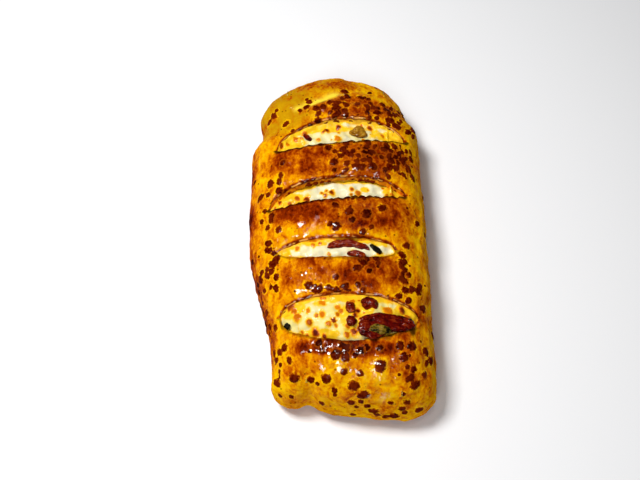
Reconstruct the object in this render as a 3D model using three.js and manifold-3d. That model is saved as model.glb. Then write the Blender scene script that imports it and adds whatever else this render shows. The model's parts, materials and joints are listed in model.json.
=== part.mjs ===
// Stromboli: a folded loaf of baked dough round a cheese filling, cut with four slits across its top.
// Millimetres, +Z up. The loaf lies along Y with its broad, tucked-in end at -Y, and it rests on its
// flat underside, whose middle is the origin.

import * as THREE from "three";
import { mergeVertices } from "three/addons/utils/BufferGeometryUtils.js";
import Module from "manifold-3d";

const wasm = await Module();
wasm.setup();

// ---- Driving dimensions ---------------------------------------------------------------------

// The baked dough. far is the +Y end, near the -Y end.
const loaf = {
  length: 290,
  height: 60,
  waist: 22, // height of the widest line of the flanks
  nearWaist: 13, // the same line where the near end is tucked under
  nearWaistFrom: -100, // where it starts to fall towards that
  sink: 5, // how far the rounded underside would pass below the flat it rests on
  domeRound: 2.35, // superellipse powers of the top and of the underside
  baseRound: 3.2,
  farCap: 50, // length over which an end closes
  nearCap: 40,
  farRound: 2.0, // how square the end's outline is, seen from above
  nearRound: 4.8,
  farDome: 2.1, // how square the end is, seen from the side
  nearDome: 2.3,
  dough: 7, // thickness of the crust
  domeEdge: 0.98, // share of half the width from which the dome's height is taken as level
};

// The top line falls by these heights, between these places along the loaf.
const topFall = {
  far: { drop: 7, from: 50, to: 130 },
  near: { drop: 5, from: -70, to: -125 },
};

// The outline seen from above: half widths left and right of the middle line, and how they change.
const outline = {
  left: 60,
  leftFold: 7.5, // the dough's overlap steps out here
  leftFoldFrom: 82,
  leftFoldTo: 67,
  leftTaper: 20.3, // the left flank draws in towards the near end
  leftTaperFrom: -4,
  leftTaperTo: -112,
  right: 66.5,
  rightFold: 8,
  rightFoldFrom: 84,
  rightFoldTo: 104,
  rightSpread: 2.2, // the right flank spreads a little towards the near end
  rightSpreadFrom: 90,
  rightSpreadTo: -20,
  bulge: 0.4, // the flanks swell and draw in a little along their length, the left one half as much
  bulgePitch: 58,
  bulgeAt: -62,
  bulgeFrom: 75,
  bulgeTo: 30,
};

// The corners of the ends stand out by these widths, and the last one is tucked in.
const corners = {
  farLeft: { width: 3, from: 92, to: 104 },
  nearLeft: { width: 3, from: -120, to: -136 },
  nearRight: { width: 1.6, from: -112, to: -128 },
  nearTuck: { width: -4, from: -130, to: -145 },
};

// The ends aren't square to the loaf: the near one steps back at its left and has a notch, and the
// far one leans. from and to say where along the loaf that starts and is complete; each step is
// spread over its own stretch across the loaf.
const nearEdge = {
  from: -95,
  to: -140,
  right: { step: 3.4, from: 52, to: 12 },
  left: { step: 4.6, from: 18, to: -22 },
  notch: { step: 3.8, at: -21, reach: 6.5 },
};
const farEdge = {
  from: 95,
  to: 140,
  left: { step: -3.6, from: -5, to: -40 },
  right: { step: 4, from: 15, to: 48 },
};

// The slits across the top. left and right are the ends of each slit's chord, far and near how far
// its edges bow away from that chord, full how pointed its left and right halves are, and depth how
// far the cheese lies below the loaf's dome, where it wells up by swell along its middle.
const slits = [
  {
    left: [-45.5, 57.5], right: [54, 69.5], far: 22.4, near: 1.6, full: [0.54, 0.72], depth: 9, swell: 1.5,
  },
  { left: [-50, 6.5], right: [51.5, 18], far: 17.4, near: 0.8, full: [0.45, 0.6], depth: 9, swell: 1.5 },
  { left: [-43.5, -31], right: [41, -30], far: 8.4, near: 7.4, full: [0.6, 0.35], depth: 7, swell: 2 },
  {
    left: [-41.5, -80], right: [56, -81], far: 13.6, near: 19.4, full: [0.5, 0.58], depth: 6.5, swell: 4.5,
  },
];
const tipDepth = 4.9; // at a slit's tips the cheese rises to this far below the dome
// Its lumps, broad ones about 20 mm apart and fine ones: each is a height and two crossed waves, given
// by their turns in radians for each mm along X and Y, and by where they start.
const lumps = [
  { height: 0.9, waves: [[0.31, 0.17, 1.3], [0.12, -0.36, 1.571]] },
  { height: 0.5, waves: [[0.62, -0.23, 0.4], [0.27, 0.71, 0]] },
];
const thinCheese = 0.05; // a slit's cheese counts as at least this share of its full width

// The dough rolls down to each cut by farDrop or nearDrop, over a distance of farReach or nearReach.
const lip = {
  farDrop: 4,
  nearDrop: 2.2,
  farReach: 6.5,
  nearReach: 4.5,
  round: 0.7, // this share of the drop is a round lip, and the rest a soft sag
  sag: 1.6, // which reaches this much further
  slant: 2.5, // the far cut face leans towards the near end
};
// A slit's wedge runs from above the dome to below the crust, and is clear wider than the slit. thin
// is its width at its tips, which a margin moves in by margin / tipSpan of the chord.
const wedge = { above: 6, below: 6, clear: 0.3, thin: 0.1, tipSpan: 30 };
// A block of cheese under a slit reaches depth below the crust, and past the slit at its sides and,
// as a share of half the chord, at its tips.
const block = { depth: 5, side: 1, tip: 0.02 };
const gap = 0.4; // between crust, cheese and toppings
const weld = 1e-4; // corners closer than this are one corner

// A slit that closed again while baking, across the far end.
const healedSlit = { left: [-34, 97], right: [10, 116], depth: 1.4, reach: 3.2 };

// Toppings that stand out of the cheese. at is the middle, with its height above the cheese; size is
// half its length, width and thickness; turn is about Z and tip about its own length, in degrees; box
// is how square it is, bend curves it, and it narrows to the right by taper. Those that lie on top of
// others come first.
const toppings = {
  green_pepper: { at: [28, -93.6, 5.4], size: [7.4, 2.9, 1.5], turn: -2, tip: 4, box: 2.6, bend: -0.012 },
  roasted_pepper: {
    at: [33, -88, 0.6], size: [19.5, 6.8, 2.4], turn: 8, tip: -6, box: 2.6, bend: -0.007, taper: 0.45,
  },
  sausage_ball: { at: [21.3, -74.2, 0.2], size: [5.8, 4.8, 4], box: 2.2 },
  sausage_crumb: { at: [8, -77.2, 0.5], size: [2.7, 3.6, 2], turn: 10, tip: 10, box: 2.4 },
  pepper_crumb: { at: [8.6, -87, 0.4], size: [3.2, 2.8, 2], turn: -30, box: 2.6 },
  herb_left: { at: [-36, -86.3, 0.6], size: [2.6, 1.6, 1.4], turn: -50, box: 2.4 },
  herb_right: { at: [50.4, -84.8, 2], size: [2.4, 1.7, 1.5], turn: -60, box: 2.4 },
  ham_strip_far: {
    at: [7.5, -25.8, 0.6], size: [15, 2.6, 1.8], turn: -3, tip: 10, box: 2.6, bend: -0.016, taper: 0.1,
  },
  ham_strip_near: { at: [13.5, -34, 0.3], size: [6.8, 2, 1.7], turn: -10, box: 2.4, bend: -0.02 },
  dark_pepper: { at: [27.3, -29.8, 0.5], size: [4.8, 1.8, 1.5], turn: -38, box: 2.8, taper: -0.3 },
  pepper_slice: { at: [17.4, 75.6, 0.3], size: [4.6, 5.2, 1.6], turn: 82, box: 2.4, taper: 0.5 },
  red_pepper_bit: { at: [-22.7, 70, 0.5], size: [4.4, 1.7, 1.4], turn: -48, box: 2.4 },
};
const rough = { round: 0.07, along: 0.05 }; // shares by which a topping's surface varies
const slopeReach = 2; // a topping leans with the dome, whose slope is taken over this far to each side

const materials = {
  crust: new THREE.MeshStandardMaterial({ color: 0xc8861a, roughness: 0.45, metalness: 0 }),
  cheese: new THREE.MeshStandardMaterial({ color: 0xf6e3a0, roughness: 0.35, metalness: 0 }),
  roasted_pepper: new THREE.MeshStandardMaterial({ color: 0x6e1408, roughness: 0.3, metalness: 0 }),
  green_pepper: new THREE.MeshStandardMaterial({ color: 0x4a4510, roughness: 0.35, metalness: 0 }),
  meat: new THREE.MeshStandardMaterial({ color: 0x7a2010, roughness: 0.35, metalness: 0 }),
  herb: new THREE.MeshStandardMaterial({ color: 0x1c2012, roughness: 0.5, metalness: 0 }),
};

const finishOf = {
  roasted_pepper: "roasted_pepper",
  green_pepper: "green_pepper",
  sausage_ball: "meat",
  sausage_crumb: "meat",
  pepper_crumb: "roasted_pepper",
  herb_left: "herb",
  herb_right: "herb",
  ham_strip_far: "meat",
  ham_strip_near: "meat",
  dark_pepper: "herb",
  pepper_slice: "green_pepper",
  red_pepper_bit: "roasted_pepper",
};

// How finely each surface is divided.
const mesh = {
  bodySteps: 54, // rings between the two end caps
  capSteps: 9,
  topSteps: 24, // steps over the top of a ring, and under it
  baseSteps: 10,
  coreBodySteps: 14,
  coreCapSteps: 4,
  coreTopSteps: 12,
  coreBaseSteps: 4,
  slitSteps: 18,
  cheeseAlong: 18,
  cheeseAcross: 5,
  toppingAround: 10,
  toppingAlong: 7,
};

// ---- Small helpers --------------------------------------------------------------------------

const { abs, cos, sin, sign, hypot, max, min, PI } = Math;
const half = loaf.length / 2;

function smooth(from, to, value) {
  const t = min(max((value - from) / (to - from), 0), 1);
  return t * t * (3 - 2 * t);
}

function signedPower(value, power) {
  return sign(value) * abs(value) ** power;
}

// One closed body from corner points and the triangles between them.
function closedBody(points, triangles) {
  const geometry = new THREE.BufferGeometry();
  geometry.setAttribute("position", new THREE.Float32BufferAttribute(points.flat(), 3));
  geometry.setIndex(triangles.flat());
  return geometry;
}

function toSolid(geometry) {
  const bare = geometry.clone();
  bare.deleteAttribute("normal");
  bare.deleteAttribute("uv");
  const merged = mergeVertices(bare, weld);
  const vertProperties = new Float32Array(merged.attributes.position.array);
  const triVerts = new Uint32Array(merged.index.array);
  return new wasm.Manifold(new wasm.Mesh({ numProp: 3, vertProperties, triVerts }));
}

function toGeometry(solid) {
  const { vertProperties, triVerts } = solid.getMesh();
  const geometry = new THREE.BufferGeometry();
  geometry.setAttribute("position", new THREE.BufferAttribute(vertProperties, 3));
  geometry.setIndex(new THREE.BufferAttribute(triVerts, 1));
  geometry.computeVertexNormals();
  return geometry;
}

// Triangles that join rings of equal size, in order, and close each end on one point.
function ringTriangles(ringCount, ringSize, firstPole, lastPole) {
  const triangles = [];
  for (let i = 0; i < ringCount - 1; i++) {
    for (let j = 0; j < ringSize; j++) {
      const a = i * ringSize + j;
      const b = i * ringSize + (j + 1) % ringSize;
      triangles.push([a, b, b + ringSize], [a, b + ringSize, a + ringSize]);
    }
  }
  const last = (ringCount - 1) * ringSize;
  for (let j = 0; j < ringSize; j++) {
    const k = (j + 1) % ringSize;
    triangles.push([firstPole, k, j], [lastPole, last + j, last + k]);
  }
  return triangles;
}

// ---- The slits seen from above --------------------------------------------------------------

// A point's place along a slit's chord (-1 to 1), its distance from the chord, and half the chord.
function slitPlace(slit, x, y) {
  const [ax, ay] = slit.left;
  const [bx, by] = slit.right;
  const reach = hypot(bx - ax, by - ay) / 2;
  const dx = (bx - ax) / (2 * reach);
  const dy = (by - ay) / (2 * reach);
  const mx = x - (ax + bx) / 2;
  const my = y - (ay + by) / 2;
  return { along: (mx * dx + my * dy) / reach, off: my * dx - mx * dy, reach };
}

function slitPoint(slit, along, off) {
  const [ax, ay] = slit.left;
  const [bx, by] = slit.right;
  const length = hypot(bx - ax, by - ay);
  const x = (ax + bx) / 2 + (along * (bx - ax)) / 2 - (off * (by - ay)) / length;
  const y = (ay + by) / 2 + (along * (by - ay)) / 2 + (off * (bx - ax)) / length;
  return [x, y];
}

function lensWidth(slit, along) {
  const [left, right] = slit.full;
  return max(1 - along * along, 0) ** (along < 0 ? left : right);
}

// How far a point lies outside a slit's edge, and on which side.
function slitDistance(slit, x, y) {
  const { along, off, reach } = slitPlace(slit, x, y);
  const isFar = off >= 0;
  const past = max(abs(along) - 1, 0) * reach;
  const edge = (isFar ? slit.far : slit.near) * lensWidth(slit, along);
  const away = past > 0 ? hypot(past, off) : abs(off) - edge;
  return { away: max(away, 0), isFar };
}

// The dough rolls down towards every cut, most of all on a slit's far side.
function lipDip(x, y) {
  let dip = 0;
  for (const slit of slits) {
    const { away, isFar } = slitDistance(slit, x, y);
    const drop = isFar ? lip.farDrop : lip.nearDrop;
    const reach = isFar ? lip.farReach : lip.nearReach;
    const inner = max(1 - away / reach, 0);
    const roundLip = lip.round * (1 - Math.sqrt(1 - inner * inner));
    const sag = (1 - lip.round) * Math.exp(-((away / (lip.sag * reach)) ** 2));
    dip = max(dip, drop * (roundLip + sag));
  }
  return dip;
}

function healedDip(x, y) {
  const { along, off, reach } = slitPlace(healedSlit, x, y);
  const past = max(abs(along) - 1, 0) * reach;
  return healedSlit.depth * Math.exp(-((hypot(past, off) / healedSlit.reach) ** 2));
}

// ---- The loaf's skin ------------------------------------------------------------------------

function flankBulge(y) {
  const wave = sin((2 * PI * (y - outline.bulgeAt)) / outline.bulgePitch);
  return outline.bulge * wave * smooth(outline.bulgeFrom, outline.bulgeTo, y);
}

function cornerWidth(corner, y) {
  return corner.width * smooth(corner.from, corner.to, y);
}

function leftEdge(y) {
  const fold = outline.leftFold * smooth(outline.leftFoldFrom, outline.leftFoldTo, y);
  const taper = outline.leftTaper * smooth(outline.leftTaperFrom, outline.leftTaperTo, y);
  const corner = cornerWidth(corners.farLeft, y) + cornerWidth(corners.nearLeft, y);
  return -(outline.left + fold) + taper - corner - flankBulge(y) / 2;
}

function rightEdge(y) {
  const fold = outline.rightFold * smooth(outline.rightFoldFrom, outline.rightFoldTo, y);
  const spread = outline.rightSpread * smooth(outline.rightSpreadFrom, outline.rightSpreadTo, y);
  const corner = cornerWidth(corners.nearRight, y) + cornerWidth(corners.nearTuck, y);
  return outline.right - fold + spread + corner + flankBulge(y);
}

// Height of the loaf's top line: it falls off towards both ends.
function crown(y) {
  const { far, near } = topFall;
  return loaf.height - far.drop * smooth(far.from, far.to, y) - near.drop * smooth(near.from, near.to, y);
}

function waistHeight(y) {
  return loaf.waist + (loaf.nearWaist - loaf.waist) * smooth(loaf.nearWaistFrom, -half, y);
}

// How far a point of an end lies back along the loaf from a square end.
function endShift(x, y) {
  const stepAt = (edge) => edge.step * smooth(edge.from, edge.to, x);
  const notch = nearEdge.notch.step * Math.exp(-(((x - nearEdge.notch.at) / nearEdge.notch.reach) ** 2));
  const near = stepAt(nearEdge.right) + stepAt(nearEdge.left) + notch;
  const far = stepAt(farEdge.left) + stepAt(farEdge.right);
  return smooth(nearEdge.from, nearEdge.to, y) * near + smooth(farEdge.from, farEdge.to, y) * far;
}

// The rings from the far end to the near end: place along the loaf, and how far each has closed.
function stations(bodySteps, capSteps) {
  const list = [];
  const farStart = half - loaf.farCap;
  const nearStart = -(half - loaf.nearCap);
  for (let i = 1; i <= capSteps; i++) {
    const angle = (PI / 2) * (1 - i / (capSteps + 1));
    const u = sin(angle) ** (2 / loaf.farRound);
    list.push({ y: farStart + loaf.farCap * u, wide: (1 - u ** loaf.farRound) ** (1 / loaf.farRound),
      high: (1 - u ** loaf.farDome) ** (1 / loaf.farDome) });
  }
  for (let i = 0; i <= bodySteps; i++) {
    list.push({ y: farStart + ((nearStart - farStart) * i) / bodySteps, wide: 1, high: 1 });
  }
  for (let i = 1; i <= capSteps; i++) {
    const angle = (PI / 2) * (i / (capSteps + 1));
    const u = sin(angle) ** (2 / loaf.nearRound);
    list.push({ y: nearStart - loaf.nearCap * u, wide: (1 - u ** loaf.nearRound) ** (1 / loaf.nearRound),
      high: (1 - u ** loaf.nearDome) ** (1 / loaf.nearDome) });
  }
  return list;
}

// A point of the skin, or of a skin that lies inset below it. angle goes round the section from the
// right flank (0) over the top.
function skinPoint(station, angle, inset) {
  const { y, wide, high } = station;
  const left = leftEdge(y);
  const right = rightEdge(y);
  const halfWidth = (right - left) / 2 - inset;
  const waist = waistHeight(y);
  const isTop = sin(angle) >= 0;
  const round = isTop ? loaf.domeRound : loaf.baseRound;
  const across = signedPower(cos(angle), 2 / round);
  const up = signedPower(sin(angle), 2 / round);
  const x = (left + right) / 2 + halfWidth * across * wide;
  const rise = isTop ? crown(y) - inset - waist : waist + loaf.sink;
  let z = waist + rise * up * high;
  if (inset === 0 && isTop) {
    z -= (lipDip(x, y) + healedDip(x, y)) * up;
  }
  const along = y * (1 - inset / half);
  return [x, along + endShift(x, y), max(z, inset)];
}

function skin(inset, bodySteps, capSteps, topSteps, baseSteps) {
  const rings = stations(bodySteps, capSteps);
  const angles = [];
  for (let j = 0; j < topSteps; j++) angles.push((PI * j) / topSteps);
  for (let j = 0; j < baseSteps; j++) angles.push(PI + (PI * j) / baseSteps);
  const points = [];
  for (const station of rings) {
    for (const angle of angles) points.push(skinPoint(station, angle, inset));
  }
  const poles = [half, -half].map((y) => skinPoint({ y, wide: 0, high: 0 }, 0, inset));
  points.push(...poles);
  const triangles = ringTriangles(rings.length, angles.length, points.length - 2, points.length - 1);
  return closedBody(points, triangles);
}

// Height of the undisturbed dome over a point of the plan.
function domeHeight(x, y) {
  const left = leftEdge(y);
  const right = rightEdge(y);
  const from = min(abs((x - (left + right) / 2) / ((right - left) / 2)), loaf.domeEdge);
  const waist = waistHeight(y);
  return waist + (crown(y) - waist) * (1 - from ** loaf.domeRound) ** (1 / loaf.domeRound);
}

// ---- Crust ----------------------------------------------------------------------------------

// The wedge that a slit takes out of the crust, or with a margin the room left in it for cheese.
function slitWedge(slit, margin) {
  const points = [];
  const steps = mesh.slitSteps;
  const end = 1 - margin / wedge.tipSpan;
  for (let i = 0; i <= steps; i++) {
    const along = -cos((PI * i) / steps) * end;
    const width = lensWidth(slit, along);
    const near = -slit.near * width - wedge.clear + margin;
    const farTop = max(slit.far * width + wedge.clear - margin, near + wedge.thin);
    const farBase = max(farTop - lip.slant * width, near + wedge.thin);
    const [topX, topY] = slitPoint(slit, along, farTop);
    const [nearX, nearY] = slitPoint(slit, along, near);
    const [baseX, baseY] = slitPoint(slit, along, farBase);
    const dome = domeHeight(nearX, nearY);
    const low = dome - loaf.dough - wedge.below;
    const high = dome + wedge.above;
    points.push([topX, topY, high], [nearX, nearY, high], [nearX, nearY, low], [baseX, baseY, low]);
  }
  const size = 4;
  const last = steps * size;
  const triangles = [[0, 3, 2], [0, 2, 1], [last, last + 1, last + 2], [last, last + 2, last + 3]];
  for (let i = 0; i < steps; i++) {
    for (let j = 0; j < size; j++) {
      const a = i * size + j;
      const b = i * size + (j + 1) % size;
      triangles.push([a, b, b + size], [a, b + size, a + size]);
    }
  }
  return closedBody(points, triangles);
}

function crustSolid() {
  const outer = skin(0, mesh.bodySteps, mesh.capSteps, mesh.topSteps, mesh.baseSteps);
  const hollow = skin(loaf.dough, mesh.coreBodySteps, mesh.coreCapSteps, mesh.coreTopSteps,
    mesh.coreBaseSteps);
  let solid = toSolid(outer).subtract(toSolid(hollow));
  for (const slit of slits) solid = solid.subtract(toSolid(slitWedge(slit, 0)));
  return solid;
}

// ---- Cheese ---------------------------------------------------------------------------------

// Melted cheese sets in low uneven lumps.
function cheeseLumps(x, y) {
  const wave = ([perX, perY, start]) => sin(perX * x + perY * y + start);
  return lumps.reduce((sum, { height, waves }) => sum + height * wave(waves[0]) * wave(waves[1]), 0);
}

// Height of the cheese in a slit: it wells up along the slit's middle line.
function cheeseHeight(slit, x, y) {
  const { along, off } = slitPlace(slit, x, y);
  const width = max(lensWidth(slit, along), thinCheese);
  const middle = ((slit.far - slit.near) / 2) * width;
  const across = (off - middle) / (((slit.far + slit.near) / 2) * width + 1);
  const body = max(1 - along ** 4, 0);
  const well = slit.swell * max(1 - across * across, 0) * body;
  const depth = tipDepth + (slit.depth - tipDepth) * body;
  return domeHeight(x, y) - depth + well + cheeseLumps(x, y);
}

// A block of cheese under one slit, with that surface as its top.
function cheeseBlock(slit) {
  const columns = mesh.cheeseAcross + 1;
  const rows = mesh.cheeseAlong + 1;
  const points = [];
  for (const isTop of [true, false]) {
    for (let i = 0; i < rows; i++) {
      for (let j = 0; j < columns; j++) {
        const along = (1 + block.tip) * ((2 * i) / mesh.cheeseAlong - 1);
        const across = j / mesh.cheeseAcross;
        const off = (slit.far + block.side) * across - (slit.near + block.side) * (1 - across);
        const [x, y] = slitPoint(slit, along, off);
        const z = isTop ? cheeseHeight(slit, x, y) : domeHeight(x, y) - loaf.dough - block.depth;
        points.push([x, y, z]);
      }
    }
  }
  const under = rows * columns;
  const triangles = [];
  const addQuad = (a, b, c, d) => triangles.push([a, b, c], [a, c, d]);
  for (let i = 0; i < rows - 1; i++) {
    for (let j = 0; j < columns - 1; j++) {
      const a = i * columns + j;
      const b = a + columns;
      addQuad(a, b, b + 1, a + 1);
      addQuad(under + a, under + a + 1, under + b + 1, under + b);
    }
  }
  for (let i = 0; i < rows - 1; i++) {
    const a = i * columns;
    const b = a + columns;
    addQuad(a, under + a, under + b, b);
    addQuad(a + columns - 1, b + columns - 1, under + b + columns - 1, under + a + columns - 1);
  }
  for (let j = 0; j < columns - 1; j++) {
    const a = j;
    const b = (rows - 1) * columns + j;
    addQuad(a, a + 1, under + a + 1, under + a);
    addQuad(b, under + b, under + b + 1, b + 1);
  }
  return closedBody(points, triangles);
}

function fillingSolid() {
  const core = skin(loaf.dough + gap, mesh.coreBodySteps, mesh.coreCapSteps, mesh.coreTopSteps,
    mesh.coreBaseSteps);
  let solid = toSolid(core);
  for (const slit of slits) {
    const room = toSolid(slitWedge(slit, gap));
    solid = solid.add(toSolid(cheeseBlock(slit)).intersect(room));
  }
  for (const name of Object.keys(toppings)) {
    solid = solid.subtract(toppingShape(name, gap));
  }
  return solid;
}

// ---- Toppings -------------------------------------------------------------------------------

function slitUnder(x, y) {
  return slits.reduce((best, slit) => {
    const isNearer = slitDistance(slit, x, y).away < slitDistance(best, x, y).away;
    return isNearer ? slit : best;
  });
}

// A rounded, slightly bent piece of pepper, meat or leaf, with an uneven surface.
function toppingShape(name, grow) {
  const { at, size, box, turn = 0, tip = 0, bend = 0, taper = 0 } = toppings[name];
  const [halfLength, halfWidth, halfThick] = size.map((value) => value + grow);
  const phase = name.length;
  const points = [];
  const turned = new THREE.Matrix4().makeRotationZ(THREE.MathUtils.degToRad(turn));
  turned.multiply(new THREE.Matrix4().makeRotationX(THREE.MathUtils.degToRad(tip)));
  const [x, y, above] = at;
  const ground = cheeseHeight(slitUnder(x, y), x, y) + above;
  const slope = (domeHeight(x + slopeReach, y) - domeHeight(x - slopeReach, y)) / (2 * slopeReach);
  const place = (lx, ly, lz) => {
    const p = new THREE.Vector3(lx, ly + bend * lx * lx, lz).applyMatrix4(turned);
    return [x + p.x, y + p.y, ground + p.z + slope * p.x];
  };
  const around = mesh.toppingAround;
  const along = mesh.toppingAlong;
  for (let i = 1; i < along; i++) {
    const a = PI * (i / along);
    const reach = sin(a) ** (2 / box);
    const lx = -halfLength * signedPower(cos(a), 2 / box);
    for (let j = 0; j < around; j++) {
      const b = (2 * PI * j) / around;
      const wave = rough.round * sin(3 * b + phase + i) + rough.along * cos(2 * i + phase);
      const narrow = 1 - (taper * lx) / halfLength;
      const ly = halfWidth * narrow * reach * signedPower(cos(b), 2 / box) * (1 + wave);
      const lz = halfThick * reach * signedPower(sin(b), 2 / box) * (1 + wave);
      points.push(place(lx, ly, lz));
    }
  }
  points.push(place(-halfLength, 0, 0), place(halfLength, 0, 0));
  const triangles = ringTriangles(along - 1, around, points.length - 2, points.length - 1);
  return toSolid(closedBody(points, triangles));
}

function largestPart(solid) {
  return solid.decompose().reduce((best, part) => (part.volume() > best.volume() ? part : best));
}

// A topping as it lies: clear of the crust round its slit, and hollowed where another lies on it.
function toppingSolid(name) {
  const [x, y] = toppings[name].at;
  let solid = toppingShape(name, 0).intersect(toSolid(slitWedge(slitUnder(x, y), gap)));
  for (const other of Object.keys(toppings)) {
    if (other === name) break;
    solid = solid.subtract(toppingShape(other, gap));
  }
  return largestPart(solid);
}

// ---- The whole stromboli --------------------------------------------------------------------

function addMesh(group, name, geometry, finish) {
  const item = new THREE.Mesh(geometry, materials[finish]);
  item.name = name;
  group.add(item);
}

const stromboli = new THREE.Group();
addMesh(stromboli, "crust", toGeometry(crustSolid()), "crust");
addMesh(stromboli, "filling", toGeometry(fillingSolid()), "cheese");
for (const name of Object.keys(toppings)) {
  addMesh(stromboli, name, toGeometry(toppingSolid(name)), finishOf[name]);
}

// The middle of the underside becomes the origin.
const extent = new THREE.Box3().setFromObject(stromboli);
const middle = extent.getCenter(new THREE.Vector3());
stromboli.position.set(-middle.x, -middle.y, -extent.min.z);

export default stromboli;
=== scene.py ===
import json
import math

import bpy
import numpy as np
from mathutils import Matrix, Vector

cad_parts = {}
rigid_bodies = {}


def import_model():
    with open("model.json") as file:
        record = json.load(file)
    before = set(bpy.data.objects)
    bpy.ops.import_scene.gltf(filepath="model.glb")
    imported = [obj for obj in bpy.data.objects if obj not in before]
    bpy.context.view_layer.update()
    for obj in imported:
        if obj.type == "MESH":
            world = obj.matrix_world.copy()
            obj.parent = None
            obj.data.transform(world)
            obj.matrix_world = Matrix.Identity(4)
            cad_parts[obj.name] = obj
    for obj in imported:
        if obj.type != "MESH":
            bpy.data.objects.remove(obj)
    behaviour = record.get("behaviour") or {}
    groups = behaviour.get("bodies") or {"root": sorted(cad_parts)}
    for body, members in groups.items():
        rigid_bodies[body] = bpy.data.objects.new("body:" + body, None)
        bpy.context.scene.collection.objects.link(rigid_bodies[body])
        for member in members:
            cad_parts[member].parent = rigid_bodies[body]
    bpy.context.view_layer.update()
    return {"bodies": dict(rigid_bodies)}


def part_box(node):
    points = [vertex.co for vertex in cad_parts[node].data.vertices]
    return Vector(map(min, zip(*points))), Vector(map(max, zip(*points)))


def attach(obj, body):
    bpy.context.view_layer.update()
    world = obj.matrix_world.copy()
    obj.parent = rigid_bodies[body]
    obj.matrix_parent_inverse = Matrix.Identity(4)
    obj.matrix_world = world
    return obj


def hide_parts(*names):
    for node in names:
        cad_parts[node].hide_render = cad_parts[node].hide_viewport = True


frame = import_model()
mm = 0.001
print("stage: frame loaded")


# helpers

def toLinear(hexColour):
    # an sRGB hex colour as the linear RGBA that a shader takes
    parts = [int(hexColour[i:i + 2], 16) / 255 for i in (0, 2, 4)]
    return [p / 12.92 if p <= 0.04045 else ((p + 0.055) / 1.055) ** 2.4 for p in parts] + [1.0]


def setInputs(tree, node, inputs):
    # each input is a value, a hex colour, or a socket to link from
    for key, value in inputs.items():
        socket = node.inputs[key]
        if isinstance(value, bpy.types.NodeSocket):
            tree.links.new(value, socket)
        else:
            socket.default_value = toLinear(value) if socket.type == "RGBA" else value


def addNode(tree, kind, settings=None, inputs=None, stops=()):
    # one node with its settings and links, and the stops of its colour ramp if it has one
    node = tree.nodes.new(kind)
    for name, value in (settings or {}).items():
        setattr(node, name, value)
    setInputs(tree, node, inputs or {})
    if stops:
        elements = node.color_ramp.elements
        while len(elements) < len(stops):
            elements.new(0.5)
        for element, (place, colour) in zip(elements, stops):
            element.position = place
            element.color = toLinear(colour)
    return node


# nodes that recur, by a short name: kind, settings, the inputs that are given in order, and the output
recurring = {
    "field": ("GeometryNodeInputNamedAttribute", {"data_type": "FLOAT"}, ("Name",), 0),
    "vectorField": ("GeometryNodeInputNamedAttribute", {"data_type": "FLOAT_VECTOR"}, ("Name",), 0),
    "keep": ("GeometryNodeStoreNamedAttribute", {"data_type": "FLOAT", "domain": "POINT"},
             ("Geometry", "Name", "Value"), 0),
    "keepVector": ("GeometryNodeStoreNamedAttribute", {"data_type": "FLOAT_VECTOR", "domain": "POINT"},
                   ("Geometry", "Name", "Value"), 0),
    "step": ("ShaderNodeMapRange", {"interpolation_type": "SMOOTHSTEP"},
             ("Value", "From Min", "From Max", "To Min", "To Max"), 0),
    "blend": ("ShaderNodeMix", {"data_type": "RGBA"}, (0, 6, 7), 2),
    "bump": ("ShaderNodeBump", {}, ("Height", "Distance"), 0),
    "longer": ("ShaderNodeVectorMath", {"operation": "SCALE"}, (0, "Scale"), 0),
    "dot": ("ShaderNodeVectorMath", {"operation": "DOT_PRODUCT"}, (0, 1), "Value"),
}
for name, operation in {"times": "MULTIPLY", "plus": "ADD", "minus": "SUBTRACT", "over": "DIVIDE",
                        "larger": "MAXIMUM", "root": "SQRT", "unsigned": "ABSOLUTE",
                        "scaled": "MULTIPLY_ADD"}.items():
    recurring[name] = ("ShaderNodeMath", {"operation": operation}, (0, 1, 2), 0)
for name, operation in {"moved": "ADD", "apart": "SUBTRACT", "drawnOut": "MULTIPLY",
                        "unit": "NORMALIZE"}.items():
    recurring[name] = ("ShaderNodeVectorMath", {"operation": operation}, (0, 1), 0)


def put(tree, name, *values):
    # adds one of the recurring nodes, and gives its output
    kind, settings, inputs, output = recurring[name]
    return addNode(tree, kind, settings, dict(zip(inputs, values))).outputs[output]


def perSize(size):
    # the texture scale that gives lumps of this size in millimetres
    return 1 / (size * mm)


def smooth(start, stop, value):
    t = np.clip((value - start) / (stop - start), 0, 1)
    return t * t * (3 - 2 * t)


def signedPower(value, power):
    return np.sign(value) * np.abs(value) ** power


def grown(change, place):
    # a change that starts at one place and is complete at another, given as (amount, start, stop)
    amount, start, stop = change
    return amount * smooth(start, stop, place)


def waves(x, y, size, seed):
    # a smooth uneven field, about -1 to 1, whose lumps are roughly size across
    count, shortest, longest, loudness = 7, 1.3, 2.6, 3.2
    random = np.random.default_rng(seed)
    total = 0
    for _ in range(count):
        turn, phase = random.uniform(0, 2 * math.pi, 2)
        pitch = 2 * math.pi / (size * random.uniform(shortest, longest))
        total = total + np.sin(pitch * (x * math.cos(turn) + y * math.sin(turn)) + phase)
    return total / loudness


# the loaf's form, in millimetres

loaf = {
    "length": 290.0, "height": 60.0, "waist": 22.0, "nearWaist": 13.0, "nearWaistFrom": -100.0, "sink": 5.0,
    "domeRound": 2.35, "baseRound": 3.2, "farCap": 50.0, "nearCap": 40.0, "farRound": 2.0, "nearRound": 4.8,
    "farDome": 2.1, "nearDome": 2.3, "dough": 7.0, "domeEdge": 0.98,
}
# every change from here on is (amount, start, stop), along the loaf unless a note says otherwise
topFall = {"far": (7.0, 50.0, 130.0), "near": (5.0, -70.0, -125.0)}
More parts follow.
